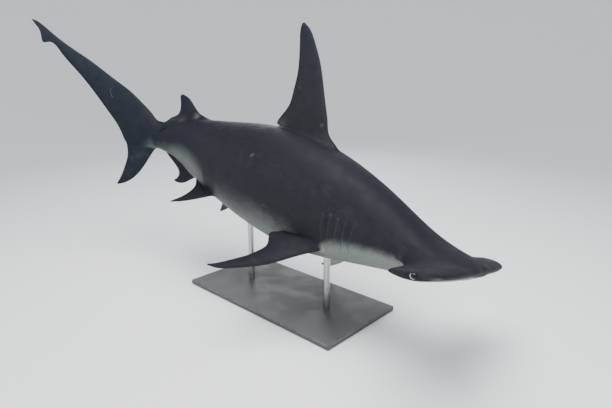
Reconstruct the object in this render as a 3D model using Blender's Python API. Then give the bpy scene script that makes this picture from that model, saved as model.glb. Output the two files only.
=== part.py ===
"""Great hammerhead shark, the whole animal at life size, held above its plate by two short rods.

Row frame, in metres: the trunk heads along +X, its left side is +Y, up is +Z, and the origin is the
middle of the stand plate's underside, on the floor.

Every outline is written for a shark lying straight: s runs back from the front edge of the head, y to the
shark's left and z up from its middle line. posed() then bends that straight shark along its swimming line.
"""

import bmesh
import bpy
import numpy as np

# Driving dimensions
TOTAL_LENGTH = 3.50
GAP = 0.0003
SWELL = 0.0005

# Body stations: distance back, half width, top, bottom
STATIONS = np.array([
    (0.000, 0.060, 0.004, -0.004),
    (0.005, 0.112, 0.014, -0.015),
    (0.018, 0.142, 0.025, -0.026),
    (0.050, 0.160, 0.040, -0.041),
    (0.110, 0.172, 0.058, -0.061),
    (0.180, 0.174, 0.076, -0.080),
    (0.245, 0.170, 0.096, -0.098),
    (0.350, 0.163, 0.134, -0.122),
    (0.525, 0.179, 0.197, -0.170),
    (0.700, 0.204, 0.247, -0.226),
    (0.875, 0.226, 0.284, -0.280),
    (1.050, 0.238, 0.308, -0.312),
    (1.260, 0.240, 0.317, -0.323),
    (1.505, 0.228, 0.304, -0.306),
    (1.750, 0.198, 0.270, -0.266),
    (1.995, 0.158, 0.224, -0.214),
    (2.205, 0.114, 0.174, -0.164),
    (2.380, 0.076, 0.136, -0.114),
    (2.460, 0.060, 0.116, -0.092),
    (2.510, 0.052, 0.106, -0.084),
])
SECTION_POWER = 0.90        # under 1 makes a section fuller than an ellipse
SHARP_ANGLE = 50.0          # edges bent by more than this, in degrees, are shaded as creases
BODY_SIDES = 32
BODY_LENGTHS = {            # start and end of each named length of the body
    "head": (0.000, 0.370),
    "gill_region": (0.370, 0.960),
    "trunk_front": (0.960, 1.620),
    "trunk_rear": (1.620, 2.040),
    "tail_stalk": (2.040, 2.460),
}
STALK_END = 2.460           # in front of the pit at the tail fin's root
HEAD_RINGS = (0.0, 0.003, 0.010, 0.022, 0.045, 0.085, 0.135, 0.190, 0.245, 0.305)
BODY_RING_STEP = 0.075

# Swimming line, in degrees at distances back from the head's front edge
TURN_AT = (0.0, 0.42, 0.84, 1.26, 1.68, 2.10, 2.45, 2.80, 3.50)
HEADING = (4.5, -3.6, -1.0, -0.3, -0.6, 4.9, 24.9, 43.8, 83.4)
CLIMB = (1.3, -8.5, -12.9, -10.3, -7.1, -12.1, -3.2, -0.6, -3.5)
ROLL_AT = (0.0, 0.70, 1.155, 1.75, 2.275, 2.625, 3.50)
ROLL = (-14.9, -11.1, -11.7, -10.1, -11.0, -7.6, -4.6)
ANCHOR_AT = 1.155
ANCHOR = (0.100, 0.007, 0.705)
LINE_START = -0.02
LINE_SAMPLES = 705

# Fin sections, root to tip: front edge (s, z), rear edge (s, z), half thickness
DORSAL_FIRST = (
    (0.975, 0.220, 1.410, 0.220, 0.030),
    (1.005, 0.312, 1.425, 0.300, 0.026),
    (1.050, 0.352, 1.442, 0.327, 0.022),
    (1.096, 0.423, 1.392, 0.425, 0.018),
    (1.135, 0.497, 1.376, 0.509, 0.0155),
    (1.190, 0.604, 1.375, 0.625, 0.0125),
    (1.253, 0.728, 1.393, 0.744, 0.0095),
    (1.320, 0.834, 1.413, 0.832, 0.0070),
    (1.376, 0.901, 1.421, 0.888, 0.0045),
    (1.407, 0.921, 1.419, 0.912, 0.0020),
)
DORSAL_SECOND = (
    (2.040, 0.110, 2.240, 0.080, 0.018),
    (2.085, 0.200, 2.300, 0.130, 0.014),
    (2.150, 0.208, 2.436, 0.136, 0.010),
    (2.200, 0.224, 2.385, 0.158, 0.0085),
    (2.250, 0.262, 2.352, 0.210, 0.0070),
    (2.300, 0.305, 2.354, 0.266, 0.0050),
    (2.346, 0.325, 2.363, 0.310, 0.0022),
)
ANAL_FIN = (
    (2.050, -0.100, 2.240, -0.080, 0.018),
    (2.068, -0.188, 2.290, -0.130, 0.014),
    (2.100, -0.214, 2.434, -0.108, 0.010),
    (2.140, -0.252, 2.345, -0.172, 0.0085),
    (2.190, -0.285, 2.282, -0.218, 0.0070),
    (2.250, -0.303, 2.277, -0.258, 0.0050),
    (2.318, -0.298, 2.308, -0.286, 0.0022),
)
CAUDAL_UPPER = (
    (2.460, 0.116, 2.460, -0.092, 0.0600),
    (2.511, 0.118, 2.520, -0.080, 0.0440),
    (2.557, 0.166, 2.610, -0.078, 0.0320),
    (2.626, 0.238, 2.700, -0.070, 0.0230),
    (2.690, 0.303, 2.752, -0.055, 0.0175),
    (2.760, 0.362, 2.794, 0.034, 0.0150),
    (2.858, 0.439, 2.872, 0.170, 0.0130),
    (2.975, 0.535, 2.976, 0.332, 0.0110),
    (3.090, 0.618, 3.072, 0.466, 0.0090),
    (3.190, 0.699, 3.164, 0.590, 0.0070),
    (3.232, 0.738, 3.224, 0.650, 0.0055),
    (3.268, 0.770, 3.268, 0.648, 0.0045),
    (3.300, 0.790, 3.278, 0.712, 0.0035),
    (3.325, 0.796, 3.310, 0.770, 0.0020),
)
CAUDAL_LOWER = (
    (2.520, -0.010, 2.700, 0.000, 0.020),
    (2.534, -0.095, 2.747, -0.072, 0.017),
    (2.585, -0.167, 2.750, -0.124, 0.013),
    (2.647, -0.250, 2.764, -0.190, 0.010),
    (2.719, -0.316, 2.790, -0.256, 0.0075),
    (2.785, -0.349, 2.817, -0.312, 0.0048),
    (2.838, -0.361, 2.842, -0.350, 0.0022),
)

# Paired fins: distance back and out from the root, front then rear edge, and half thickness
PECTORAL = (
    (0.010, -0.110, 0.190, -0.110, 0.036),
    (0.002, -0.015, 0.222, -0.015, 0.030),
    (0.028, 0.035, 0.300, 0.045, 0.023),
    (0.058, 0.086, 0.312, 0.082, 0.018),
    (0.084, 0.134, 0.264, 0.134, 0.016),
    (0.122, 0.207, 0.259, 0.207, 0.0135),
    (0.151, 0.253, 0.272, 0.253, 0.0120),
    (0.205, 0.318, 0.304, 0.316, 0.0095),
    (0.268, 0.380, 0.342, 0.378, 0.0070),
    (0.335, 0.430, 0.376, 0.422, 0.0045),
    (0.390, 0.447, 0.397, 0.440, 0.0020),
)
PECTORAL_ROOT = (0.756, 0.172, -0.181)
PECTORAL_DROOP_LEFT = 50.3
PECTORAL_DROOP_RIGHT = 31.9
PELVIC = (
    (0.000, -0.060, 0.180, -0.090, 0.020),
    (-0.002, -0.004, 0.230, -0.070, 0.015),
    (0.016, 0.030, 0.296, -0.060, 0.011),
    (0.040, 0.058, 0.226, -0.010, 0.0090),
    (0.068, 0.090, 0.190, 0.055, 0.0080),
    (0.106, 0.134, 0.185, 0.116, 0.0065),
    (0.148, 0.177, 0.196, 0.166, 0.0045),
    (0.209, 0.226, 0.215, 0.216, 0.0022),
)
PELVIC_ROOT = (1.742, 0.100, -0.212)
PELVIC_DROOP_LEFT = 72.0
PELVIC_DROOP_RIGHT = 34.9

# Hammer wing sections, inner to tip: front (s, y), rear (s, y), half thickness
HAMMER_WING = (
    (0.020, 0.070, 0.335, 0.070, 0.044),
    (0.004, 0.145, 0.318, 0.145, 0.041),
    (0.006, 0.200, 0.264, 0.208, 0.036),
    (0.010, 0.260, 0.240, 0.265, 0.031),
    (0.018, 0.325, 0.233, 0.328, 0.027),
    (0.030, 0.380, 0.230, 0.382, 0.0235),
    (0.046, 0.412, 0.220, 0.416, 0.0215),
    (0.068, 0.429, 0.200, 0.431, 0.0190),
    (0.092, 0.4365, 0.170, 0.4370, 0.0140),
)
WING_SLOPE = {"left": -0.060, "right": -0.090}  # how the wings tip down going back
WING_ROUNDNESS = 0.55
FIN_ROUNDNESS = 0.15
TAIL_ROUNDNESS = 1.0        # the tail fin grows out of the stalk's own section
STREAMLINE = 2.6            # brings the streamlined section's thickest place, at a third, to full height
THINNEST = 0.0015           # least half thickness of any fin section
FIN_SIDES = 18
FIN_RINGS = 12
TAIL_RINGS = 18
WING_RINGS = 13

# Eyes, at the wing tips
EYE_AT = (0.113, 0.4272)
EYE_RADIUS = 0.0162
EYE_SEGMENTS = 16
EYE_RINGS = 8

# Lower jaw, a plug in the underside of the head
JAW_FRONT = 0.232
JAW_CORNER = 0.340
JAW_HALF_WIDTH = 0.112
JAW_FLOOR = -0.052
JAW_UNDER = -0.300          # foot of the jaw's cutting prism, below the throat
JAW_ARCH = 0.98             # share of the mouth's length that its arch runs back over
JAW_POINTS = 13

# Stand
PLATE_LENGTH = 1.20
PLATE_WIDTH = 0.60
PLATE_THICKNESS = 0.030
PLATE_EDGE = 0.006
ROD_RADIUS = 0.019
ROD_SIDES = 24
ROD_X = (0.330, -0.330)
ROD_NAMES = ("stand_rod_front", "stand_rod_rear")
ROD_INTO_BODY = 0.640       # height the rods are drawn to before the belly trims them

# Colours
BACK_COLOUR = (0.045, 0.047, 0.055)
FLANK_COLOUR = (0.060, 0.062, 0.070)
FIN_COLOUR = (0.038, 0.040, 0.048)
JAW_COLOUR = (0.420, 0.440, 0.400)
EYE_COLOUR = (0.006, 0.006, 0.008)
PLATE_COLOUR = (0.170, 0.175, 0.180)
ROD_COLOUR = (0.550, 0.560, 0.570)


def clear_scene():
    """Empties the scene, so that only the shark and its stand are in it."""
    for item in list(bpy.data.objects):
        bpy.data.objects.remove(item)


def spline(knots, values):
    """Natural cubic spline through the values at the knots, as a function of an array of places."""
    x = np.asarray(knots, float)
    y = np.asarray(values, float).reshape(len(x), -1)
    step = np.diff(x)
    system = np.eye(len(x))
    for i in range(1, len(x) - 1):
        system[i, i - 1:i + 2] = step[i - 1], 2 * (step[i - 1] + step[i]), step[i]
    bend = np.zeros_like(y)
    bend[1:-1] = 6 * np.diff(np.diff(y, axis=0) / step[:, None], axis=0)
    bend = np.linalg.solve(system, bend)

    def at(places):
        q = np.asarray(places, float).ravel()
        i = np.clip(np.searchsorted(x, q, "right") - 1, 0, len(x) - 2)
        h = step[i][:, None]
        before = (q - x[i])[:, None]
        after = (x[i + 1] - q)[:, None]
        cubic = (bend[i] * after**3 + bend[i + 1] * before**3) / (6 * h)
        return cubic + (y[i] / h - bend[i] * h / 6) * after + (y[i + 1] / h - bend[i + 1] * h / 6) * before

    return at


def swimming_line():
    """Fine table along the middle line: distance back, centre, left axis and up axis.

    Heading and climb turn the forward axis, the centre is their running integral from the anchor, and roll
    turns the left and up axes about it.
    """
    back = np.linspace(LINE_START, TOTAL_LENGTH, LINE_SAMPLES)
    heading = np.radians(spline(TURN_AT, HEADING)(back)[:, 0])
    climb = np.radians(spline(TURN_AT, CLIMB)(back)[:, 0])
    roll = np.radians(spline(ROLL_AT, ROLL)(back))
    forward = np.stack([np.cos(climb) * np.cos(heading), np.cos(climb) * np.sin(heading), np.sin(climb)], 1)
    level = np.stack([-np.sin(heading), np.cos(heading), np.zeros_like(heading)], 1)
    over = np.cross(forward, level)
    left = level * np.cos(roll) + over * np.sin(roll)
    up = over * np.cos(roll) - level * np.sin(roll)
    centre = np.zeros_like(forward)
    centre[1:] = -np.cumsum((forward[1:] + forward[:-1]) / 2 * np.diff(back)[:, None], axis=0)
    centre += np.array(ANCHOR) - centre[np.argmin(abs(back - ANCHOR_AT))]
    return back, centre, left, up


LINE = swimming_line()


def posed(points):
    """Straight-shark points (s, y, z) moved to their places on the swimming line."""
    back, centre, left, up = LINE
    flat = np.asarray(points, float).reshape(-1, 3)

    def along(table):
        return np.stack([np.interp(flat[:, 0], back, table[:, k]) for k in range(3)], 1)

    return along(centre) + flat[:, 1:2] * along(left) + flat[:, 2:3] * along(up)


def material(name, colour, roughness, metallic=0.0):
    """Principled material of one colour."""
    made = bpy.data.materials.new(name)
    made.use_nodes = True
    shader = made.node_tree.nodes["Principled BSDF"]
    shader.inputs["Base Color"].default_value = (*colour, 1.0)
    shader.inputs["Roughness"].default_value = roughness
    shader.inputs["Metallic"].default_value = metallic
    made.diffuse_color = (*colour, 1.0)
    return made


def add_object(name, mesh, finish, cutter=False):
    """Puts a mesh in the scene as a named object; a cutter is drawn as wire and left out of renders."""
    item = bpy.data.objects.new(name, mesh)
    bpy.context.scene.collection.objects.link(item)
    if cutter:
        item.hide_render = True
        item.display_type = "WIRE"
    else:
        mesh.materials.append(finish)
    return item


def closed_mesh(name, points, faces):
    """Triangle mesh with its faces turned outwards and shaded smooth."""
    mesh = bpy.data.meshes.new(name)
    mesh.from_pydata(points.tolist(), [], faces.tolist())
    work = bmesh.new()
    work.from_mesh(mesh)
    bmesh.ops.recalc_face_normals(work, faces=work.faces)
    work.to_mesh(mesh)
    work.free()
    mesh.shade_smooth()
    mesh.set_sharp_from_angle(angle=np.radians(SHARP_ANGLE))
    return mesh


def loft(name, loops):
    """Closed mesh through a stack of like loops (rings, sides, 3), each end closed by a fan to its middle."""
    rings, sides = loops.shape[:2]
    ring, side = np.meshgrid(np.arange(rings - 1), np.arange(sides), indexing="ij")
    after = (side + 1) % sides
    a = (ring * sides + side).ravel()
    b = ((ring + 1) * sides + side).ravel()
    c = ((ring + 1) * sides + after).ravel()
    d = (ring * sides + after).ravel()
    first = rings * sides
    j = np.arange(sides)
    k = (j + 1) % sides
    end = (rings - 1) * sides
    faces = np.concatenate([
        np.stack([a, b, c], 1),
        np.stack([a, c, d], 1),
        np.stack([np.full(sides, first), j, k], 1),
        np.stack([np.full(sides, first + 1), end + k, end + j], 1),
    ])
    points = np.concatenate([loops.reshape(-1, 3), loops[0].mean(0)[None], loops[-1].mean(0)[None]])
    return closed_mesh(name, posed(points), faces)


def body_loops(back, swell=0.0):
    """Rings of the body: a fuller-than-elliptic section with its own height above and below the middle line."""
    size = spline(STATIONS[:, 0], STATIONS[:, 1:])(back) + swell * np.array([1.0, 1.0, -1.0])
    turn = np.linspace(0, 2 * np.pi, BODY_SIDES, endpoint=False)
    across = np.sign(np.cos(turn)) * abs(np.cos(turn)) ** SECTION_POWER
    rise = np.sign(np.sin(turn)) * abs(np.sin(turn)) ** SECTION_POWER
    y = size[:, :1] * across
    z = np.where(rise > 0, size[:, 1:2] * rise, -size[:, 2:3] * rise)
    return np.stack([np.broadcast_to(np.asarray(back)[:, None], y.shape), y, z], -1)


def ring_places(start, end):
    """Distances back of the rings from start to end, close together on the head."""
    head = [s for s in HEAD_RINGS if start < s < end]
    first = max(start, HEAD_RINGS[-1])
    count = max(2, round((end - first) / BODY_RING_STEP) + 1)
    rest = np.linspace(first, end, count)
    front = [start] if start < HEAD_RINGS[-1] else []
    return np.unique(np.round(np.array(front + head + list(rest)), 6))


def body_piece(name, span, finish):
    """One length of the body, a small gap short of the next at each cut end."""
    start, end = span
    back = ring_places(start, end)
    back[0] += GAP / 2 if start > 0 else 0.0
    back[-1] -= GAP / 2
    return add_object(name, loft(name, body_loops(back)), finish)


def blade_loops(rows, place, rings, roundness=FIN_ROUNDNESS):
    """Rings of a fin: at each step from root to tip, a closed streamlined section from front to rear edge.

    Half thickness along the chord c is k (1-c) sqrt(c), peaking at a third, plus a small ellipse that keeps
    the rear edge rounded.
    """
    table = np.array(rows, float)
    middle = (table[:, 0:2] + table[:, 2:4]) / 2
    reach = np.concatenate([[0], np.cumsum(np.linalg.norm(np.diff(middle, axis=0), axis=1))])
    steps = reach[-1] * np.linspace(0, 1, rings)
    size = spline(reach, table)(steps)
    turn = np.linspace(0, 2 * np.pi, FIN_SIDES, endpoint=False)
    chord = (1 - np.cos(turn)) / 2
    streamlined = STREAMLINE * np.sqrt(chord) * (1 - chord)
    ellipse = 2 * np.sqrt(chord * (1 - chord))
    profile = np.sign(np.sin(turn)) * ((1 - roundness) * streamlined + roundness * ellipse)
    edge = size[:, None, 0:2] * (1 - chord)[None, :, None] + size[:, None, 2:4] * chord[None, :, None]
    side = np.maximum(size[:, 4:5], THINNEST) * profile
    return place(edge[..., 0], edge[..., 1], side)


def on_keel(s, z, side):
    """Place of a fin on the body's middle plane."""
    return np.stack([s, side, z], -1)


def on_flank(root, droop, hand):
    """Place function of a paired fin: rooted at a point, hanging at the droop angle; hand is 1 on the left."""
    angle = np.radians(droop)
    out = np.array([0.0, hand * np.cos(angle), -np.sin(angle)])
    face = np.array([0.0, hand * np.sin(angle), np.cos(angle)])
    start = np.array([root[0], hand * root[1], root[2]])

    def place(back, reach, side):
        ahead = np.array([1.0, 0.0, 0.0])
        return start + back[..., None] * ahead + reach[..., None] * out + side[..., None] * face

    return place


def on_hammer(hand, slope):
    """Place function of a hammer wing, in a plane that tips down going back."""

    def place(s, reach, side):
        return np.stack([s, hand * reach, slope * s + side], -1)

    return place


def cut(item, cutter, operation="DIFFERENCE"):
    """Boolean that takes the cutter away from the item, or keeps what both hold."""
    step = item.modifiers.new(cutter.name, "BOOLEAN")
    step.operation = operation
    step.solver = "EXACT"
    step.object = cutter


def ball(name, centre, radius, finish, cutter=False):
    """Eyeball-like sphere at a straight-shark point."""
    mesh = bpy.data.meshes.new(name)
    work = bmesh.new()
    bmesh.ops.create_uvsphere(work, u_segments=EYE_SEGMENTS, v_segments=EYE_RINGS, radius=radius)
    bmesh.ops.triangulate(work, faces=work.faces)
    work.to_mesh(mesh)
    work.free()
    mesh.shade_smooth()
    item = add_object(name, mesh, finish, cutter)
    item.location = posed(centre)[0]
    return item


def jaw_prism(name, swell):
    """Upright prism under the head: an arched front edge, straight back, from the mouth's roof to below."""
    half = JAW_HALF_WIDTH + swell
    y = np.linspace(-half, half, JAW_POINTS)
    arch = JAW_FRONT - swell + (JAW_CORNER - JAW_FRONT) * (y / half) ** 2 * JAW_ARCH
    back = JAW_CORNER + swell
    outline = np.concatenate([np.stack([arch, y], 1), [[back, half], [back, -half]]])
    roof = np.column_stack([outline, np.full(len(outline), JAW_FLOOR + swell)])
    under = np.column_stack([outline, np.full(len(outline), JAW_UNDER)])
    return add_object(name, loft(name, np.stack([under, roof])), None, cutter=True)


def build_body(skin):
    """The lengths of the body, with the jaw pocket in the head."""
    for name, span in BODY_LENGTHS.items():
        body_piece(name, span, skin["back"] if name in ("head", "gill_region") else skin["flank"])
    jaw = body_piece("lower_jaw", BODY_LENGTHS["head"], skin["jaw"])
    cut(bpy.data.objects["head"], jaw_prism("jaw_pocket", GAP))
    cut(jaw, jaw_prism("jaw_shape", 0.0), "INTERSECT")


def build_fins(skin):
    """Every fin and both hammer wings, trimmed to the swollen body so that each stands a gap clear of it."""
    places = np.unique(np.concatenate([ring_places(*span) for span in BODY_LENGTHS.values()]))
    whole = body_loops(places, SWELL)
    whole[0, :, 0] -= SWELL
    body = add_object("body_swollen", loft("body_swollen", whole), None, cutter=True)
    tail_loops = blade_loops(CAUDAL_UPPER, on_keel, TAIL_RINGS, TAIL_ROUNDNESS)
    tail_loops[0, :, 0] = STALK_END + GAP / 2
    tail = add_object("caudal_upper", loft("caudal_upper", tail_loops), skin["fin"])
    swollen = [list(row) for row in CAUDAL_UPPER]
    for row in swollen:
        row[1] += SWELL
        row[3] -= SWELL
        row[4] += SWELL
    tail_cutter = loft("caudal_swollen", blade_loops(swollen, on_keel, TAIL_RINGS, TAIL_ROUNDNESS))
    tail_swollen = add_object("caudal_swollen", tail_cutter, None, cutter=True)
    fins = {
        "dorsal_first": (DORSAL_FIRST, on_keel, body),
        "dorsal_second": (DORSAL_SECOND, on_keel, body),
        "anal_fin": (ANAL_FIN, on_keel, body),
        "caudal_lower": (CAUDAL_LOWER, on_keel, tail_swollen),
        "pectoral_left": (PECTORAL, on_flank(PECTORAL_ROOT, PECTORAL_DROOP_LEFT, 1), body),
        "pectoral_right": (PECTORAL, on_flank(PECTORAL_ROOT, PECTORAL_DROOP_RIGHT, -1), body),
        "pelvic_left": (PELVIC, on_flank(PELVIC_ROOT, PELVIC_DROOP_LEFT, 1), body),
        "pelvic_right": (PELVIC, on_flank(PELVIC_ROOT, PELVIC_DROOP_RIGHT, -1), body),
    }
    for name, (rows, place, trimmer) in fins.items():
        fin = add_object(name, loft(name, blade_loops(rows, place, FIN_RINGS)), skin["fin"])
        cut(fin, trimmer)
    return body


def build_hammer(skin, body):
    """Both wings of the hammer, each with an eye set in its tip."""
    for side, hand in (("left", 1), ("right", -1)):
        name = "hammer_wing_" + side
        slope = WING_SLOPE[side]
        loops = blade_loops(HAMMER_WING, on_hammer(hand, slope), WING_RINGS, WING_ROUNDNESS)
        wing = add_object(name, loft(name, loops), skin["back"])
        cut(wing, body)
        centre = (EYE_AT[0], hand * EYE_AT[1], slope * EYE_AT[0])
        ball("eye_" + side, centre, EYE_RADIUS, skin["eye"])
        cut(wing, ball("eye_socket_" + side, centre, EYE_RADIUS + SWELL, None, cutter=True))


def build_stand(body):
    """A flat plate with softened edges, and two upright rods trimmed to the belly."""
    mesh = bpy.data.meshes.new("stand_base")
    work = bmesh.new()
    bmesh.ops.create_cube(work, size=1.0)
    bmesh.ops.scale(work, vec=(PLATE_LENGTH, PLATE_WIDTH, PLATE_THICKNESS), verts=work.verts)
    bmesh.ops.translate(work, vec=(0, 0, PLATE_THICKNESS / 2), verts=work.verts)
    work.to_mesh(mesh)
    work.free()
    plate = add_object("stand_base", mesh, material("stand_plate", PLATE_COLOUR, 0.45, 0.3))
    edge = plate.modifiers.new("edge", "BEVEL")
    edge.width = PLATE_EDGE
    edge.segments = 2
    steel = material("stand_rod", ROD_COLOUR, 0.28, 1.0)
    for name, x in zip(ROD_NAMES, ROD_X):
        mesh = bpy.data.meshes.new(name)
        work = bmesh.new()
        low = PLATE_THICKNESS + GAP
        height = ROD_INTO_BODY - low
        bmesh.ops.create_cone(
            work, cap_ends=True, segments=ROD_SIDES, radius1=ROD_RADIUS, radius2=ROD_RADIUS, depth=height
        )
        bmesh.ops.translate(work, vec=(0, 0, low + height / 2), verts=work.verts)
        work.to_mesh(mesh)
        work.free()
        mesh.shade_smooth()
        mesh.set_sharp_from_angle(angle=np.radians(SHARP_ANGLE))
        rod = add_object(name, mesh, steel)
        rod.location = (x, 0.0, 0.0)
        cut(rod, body)


def build():
    """The whole shark on its stand."""
    clear_scene()
    skin = {
        "back": material("skin_back", BACK_COLOUR, 0.55),
        "flank": material("skin_flank", FLANK_COLOUR, 0.55),
        "fin": material("skin_fin", FIN_COLOUR, 0.50),
        "jaw": material("skin_belly", JAW_COLOUR, 0.60),
        "eye": material("eye_dark", EYE_COLOUR, 0.08),
    }
    build_body(skin)
    body = build_fins(skin)
    build_hammer(skin, body)
    build_stand(body)


build()
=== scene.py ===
import bmesh
import bpy
import numpy as np
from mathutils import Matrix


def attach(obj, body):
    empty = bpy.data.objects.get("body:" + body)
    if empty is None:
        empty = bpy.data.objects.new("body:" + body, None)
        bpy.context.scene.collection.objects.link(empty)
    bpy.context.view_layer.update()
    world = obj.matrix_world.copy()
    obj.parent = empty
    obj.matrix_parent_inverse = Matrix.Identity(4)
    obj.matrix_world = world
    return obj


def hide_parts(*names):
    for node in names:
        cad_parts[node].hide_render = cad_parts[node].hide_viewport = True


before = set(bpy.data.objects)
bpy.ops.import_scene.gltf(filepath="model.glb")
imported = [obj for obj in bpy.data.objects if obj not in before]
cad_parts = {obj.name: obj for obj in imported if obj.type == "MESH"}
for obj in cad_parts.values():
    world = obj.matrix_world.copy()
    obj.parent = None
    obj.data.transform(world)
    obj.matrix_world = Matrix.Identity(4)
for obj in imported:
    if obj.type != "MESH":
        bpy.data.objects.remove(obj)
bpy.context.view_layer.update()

# Camera
# At the shark's front right and a little higher than its back, looking down on it as the photo does.
CAMERA_PLACE = (2.0046, -1.9710, 1.3719)
CAMERA_TILT = 74.718
CAMERA_TURN = 42.997
CAMERA_LENS = 28.56
CAMERA_SENSOR = 36.0
CAMERA_REACH = 100.0
camera = bpy.data.objects.new("camera", bpy.data.cameras.new("camera"))
bpy.context.scene.collection.objects.link(camera)
bpy.context.scene.camera = camera
camera.location = CAMERA_PLACE
camera.rotation_euler = (np.radians(CAMERA_TILT), 0.0, np.radians(CAMERA_TURN))
camera.data.lens = CAMERA_LENS
camera.data.sensor_width = CAMERA_SENSOR
camera.data.clip_end = CAMERA_REACH


# Floor and sweep
# A pale studio floor, whose edge turns up into a round wall so that no horizon shows behind the shark.
FLOOR_RADIUS = 9.0
SWEEP_RADIUS = 3.0
WALL_HEIGHT = 8.0
FLOOR_DROP = 0.0005
HUB_SHARE = 0.02
FLAT_RINGS = 11
BEND_RINGS = 24
FLOOR_SIDES = 96
FLOOR_COLOUR = (0.80, 0.81, 0.82, 1.0)
FLOOR_ROUGHNESS = 0.85


def add_piece(name, points, faces):
    """Object of a new mesh from points (n, 3) and faces, smooth shaded, with every face turned outwards."""
    mesh = bpy.data.meshes.new(name)
    mesh.from_pydata(points.tolist(), [], [list(face) for face in faces])
    work = bmesh.new()
    work.from_mesh(mesh)
    bmesh.ops.recalc_face_normals(work, faces=work.faces)
    work.to_mesh(mesh)
    work.free()
    mesh.shade_smooth()
    piece = bpy.data.objects.new(name, mesh)
    bpy.context.scene.collection.objects.link(piece)
    return piece


def grid_faces(rows, columns, first=0):
    """Quads between neighbouring rows of points, each row closed on itself, the first starting at first."""
    row, column = np.meshgrid(np.arange(rows - 1), np.arange(columns), indexing="ij")
    after = (column + 1) % columns
    corners = [row * columns + column, (row + 1) * columns + column,
               (row + 1) * columns + after, row * columns + after]
    return first + np.stack([corner.ravel() for corner in corners], 1)


def fan_faces(tip, first, columns):
    """Triangles from a tip point to a closed ring of points that starts at first."""
    column = np.arange(columns)
    return np.stack([np.full(columns, tip), first + column, first + (column + 1) % columns], 1)


def floor_sweep():
    """Flat disc that turns up through a quarter circle into a wall: one profile carried round the middle."""
    flat = FLOOR_RADIUS - SWEEP_RADIUS
    inner = np.linspace(HUB_SHARE, 1, FLAT_RINGS, endpoint=False) * flat
    bend = np.linspace(0, np.pi / 2, BEND_RINGS)
    out = np.concatenate([inner, flat + SWEEP_RADIUS * np.sin(bend), [FLOOR_RADIUS]])
    rise = np.concatenate([np.zeros(FLAT_RINGS), SWEEP_RADIUS * (1 - np.cos(bend)), [WALL_HEIGHT]])
    rise -= FLOOR_DROP
    turn = np.linspace(0, 2 * np.pi, FLOOR_SIDES, endpoint=False)
    ring = np.stack([np.cos(turn), np.sin(turn)], 1)
    points = np.column_stack([(out[:, None, None] * ring).reshape(-1, 2), np.repeat(rise, FLOOR_SIDES)])
    faces = [*grid_faces(len(out), FLOOR_SIDES), *fan_faces(len(points), 0, FLOOR_SIDES)]
    return np.concatenate([points, [[0, 0, -FLOOR_DROP]]]), faces


def new_paint(name):
    """New material, its node tree and its shader."""
    paint = bpy.data.materials.new(name)
    paint.use_nodes = True
    return paint, paint.node_tree, paint.node_tree.nodes["Principled BSDF"]


floor = add_piece("floor", *floor_sweep())
floor_paint, _, floor_shader = new_paint("floor_paint")
floor_shader.inputs["Base Color"].default_value = FLOOR_COLOUR
floor_shader.inputs["Roughness"].default_value = FLOOR_ROUGHNESS
floor.data.materials.append(floor_paint)


# Studio light
# One broad soft box overhead, weaker ones from the camera's side and from behind, and pale air all round.
LIGHTS = (
    # name, place, aim, size, power
    ("light_top", (0.6, -0.6, 4.6), (0.0, 0.0, 0.6), 3.6, 420.0),
    ("light_front", (4.2, -3.4, 2.8), (0.2, 0.0, 0.7), 3.0, 90.0),
    ("light_back", (-3.6, 3.8, 3.2), (-0.3, 0.0, 0.8), 2.6, 90.0),
)
AIR_COLOUR = (0.92, 0.95, 1.0, 1.0)
AIR_STRENGTH = 0.65
for name, place, aim, size, power in LIGHTS:
    lamp = bpy.data.objects.new(name, bpy.data.lights.new(name, "AREA"))
    bpy.context.scene.collection.objects.link(lamp)
    lamp.location = place
    away = np.array(place) - np.array(aim)
    lamp.rotation_euler = (
        np.arctan2(np.hypot(away[0], away[1]), away[2]), 0.0, np.arctan2(away[1], away[0]) + np.pi / 2
    )
    lamp.data.size = size
    lamp.data.energy = power
air = bpy.data.worlds.new("air")
bpy.context.scene.world = air
air.use_nodes = True
air_shader = air.node_tree.nodes["Background"]
air_shader.inputs["Color"].default_value = AIR_COLOUR
air_shader.inputs["Strength"].default_value = AIR_STRENGTH


# Skin: the swimming line
# The shark's middle line, bent as it swims: the tail swings to its right and the whole body rolls a little.
# Every outline below is for a shark lying straight: s back from the head's front edge, y to its left, z up.
TOTAL_LENGTH = 3.50
TURN_AT = (0.0, 0.42, 0.84, 1.26, 1.68, 2.10, 2.45, 2.80, 3.50)
HEADING = (4.5, -3.6, -1.0, -0.3, -0.6, 4.9, 24.9, 43.8, 83.4)
CLIMB = (1.3, -8.5, -12.9, -10.3, -7.1, -12.1, -3.2, -0.6, -3.5)
ROLL_AT = (0.0, 0.70, 1.155, 1.75, 2.275, 2.625, 3.50)
ROLL = (-14.9, -11.1, -11.7, -10.1, -11.0, -7.6, -4.6)
ANCHOR_AT = 1.155
ANCHOR = (0.100, 0.007, 0.705)
LINE_START = -0.02
LINE_SAMPLES = 705


def spline(knots, values):
    """Natural cubic spline through the values at the knots, as a function of an array of places."""
    x = np.asarray(knots, float)
    y = np.asarray(values, float).reshape(len(x), -1)
    step = np.diff(x)
    system = np.eye(len(x))
    for i in range(1, len(x) - 1):
        system[i, i - 1:i + 2] = step[i - 1], 2 * (step[i - 1] + step[i]), step[i]
    bend = np.zeros_like(y)
    bend[1:-1] = 6 * np.diff(np.diff(y, axis=0) / step[:, None], axis=0)
    bend = np.linalg.solve(system, bend)

    def at(places):
        q = np.asarray(places, float).ravel()
        i = np.clip(np.searchsorted(x, q, "right") - 1, 0, len(x) - 2)
        h = step[i][:, None]
        before = (q - x[i])[:, None]
        after = (x[i + 1] - q)[:, None]
        cubic = (bend[i] * after**3 + bend[i + 1] * before**3) / (6 * h)
        return cubic + (y[i] / h - bend[i] * h / 6) * after + (y[i + 1] / h - bend[i + 1] * h / 6) * before

    return at


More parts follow.
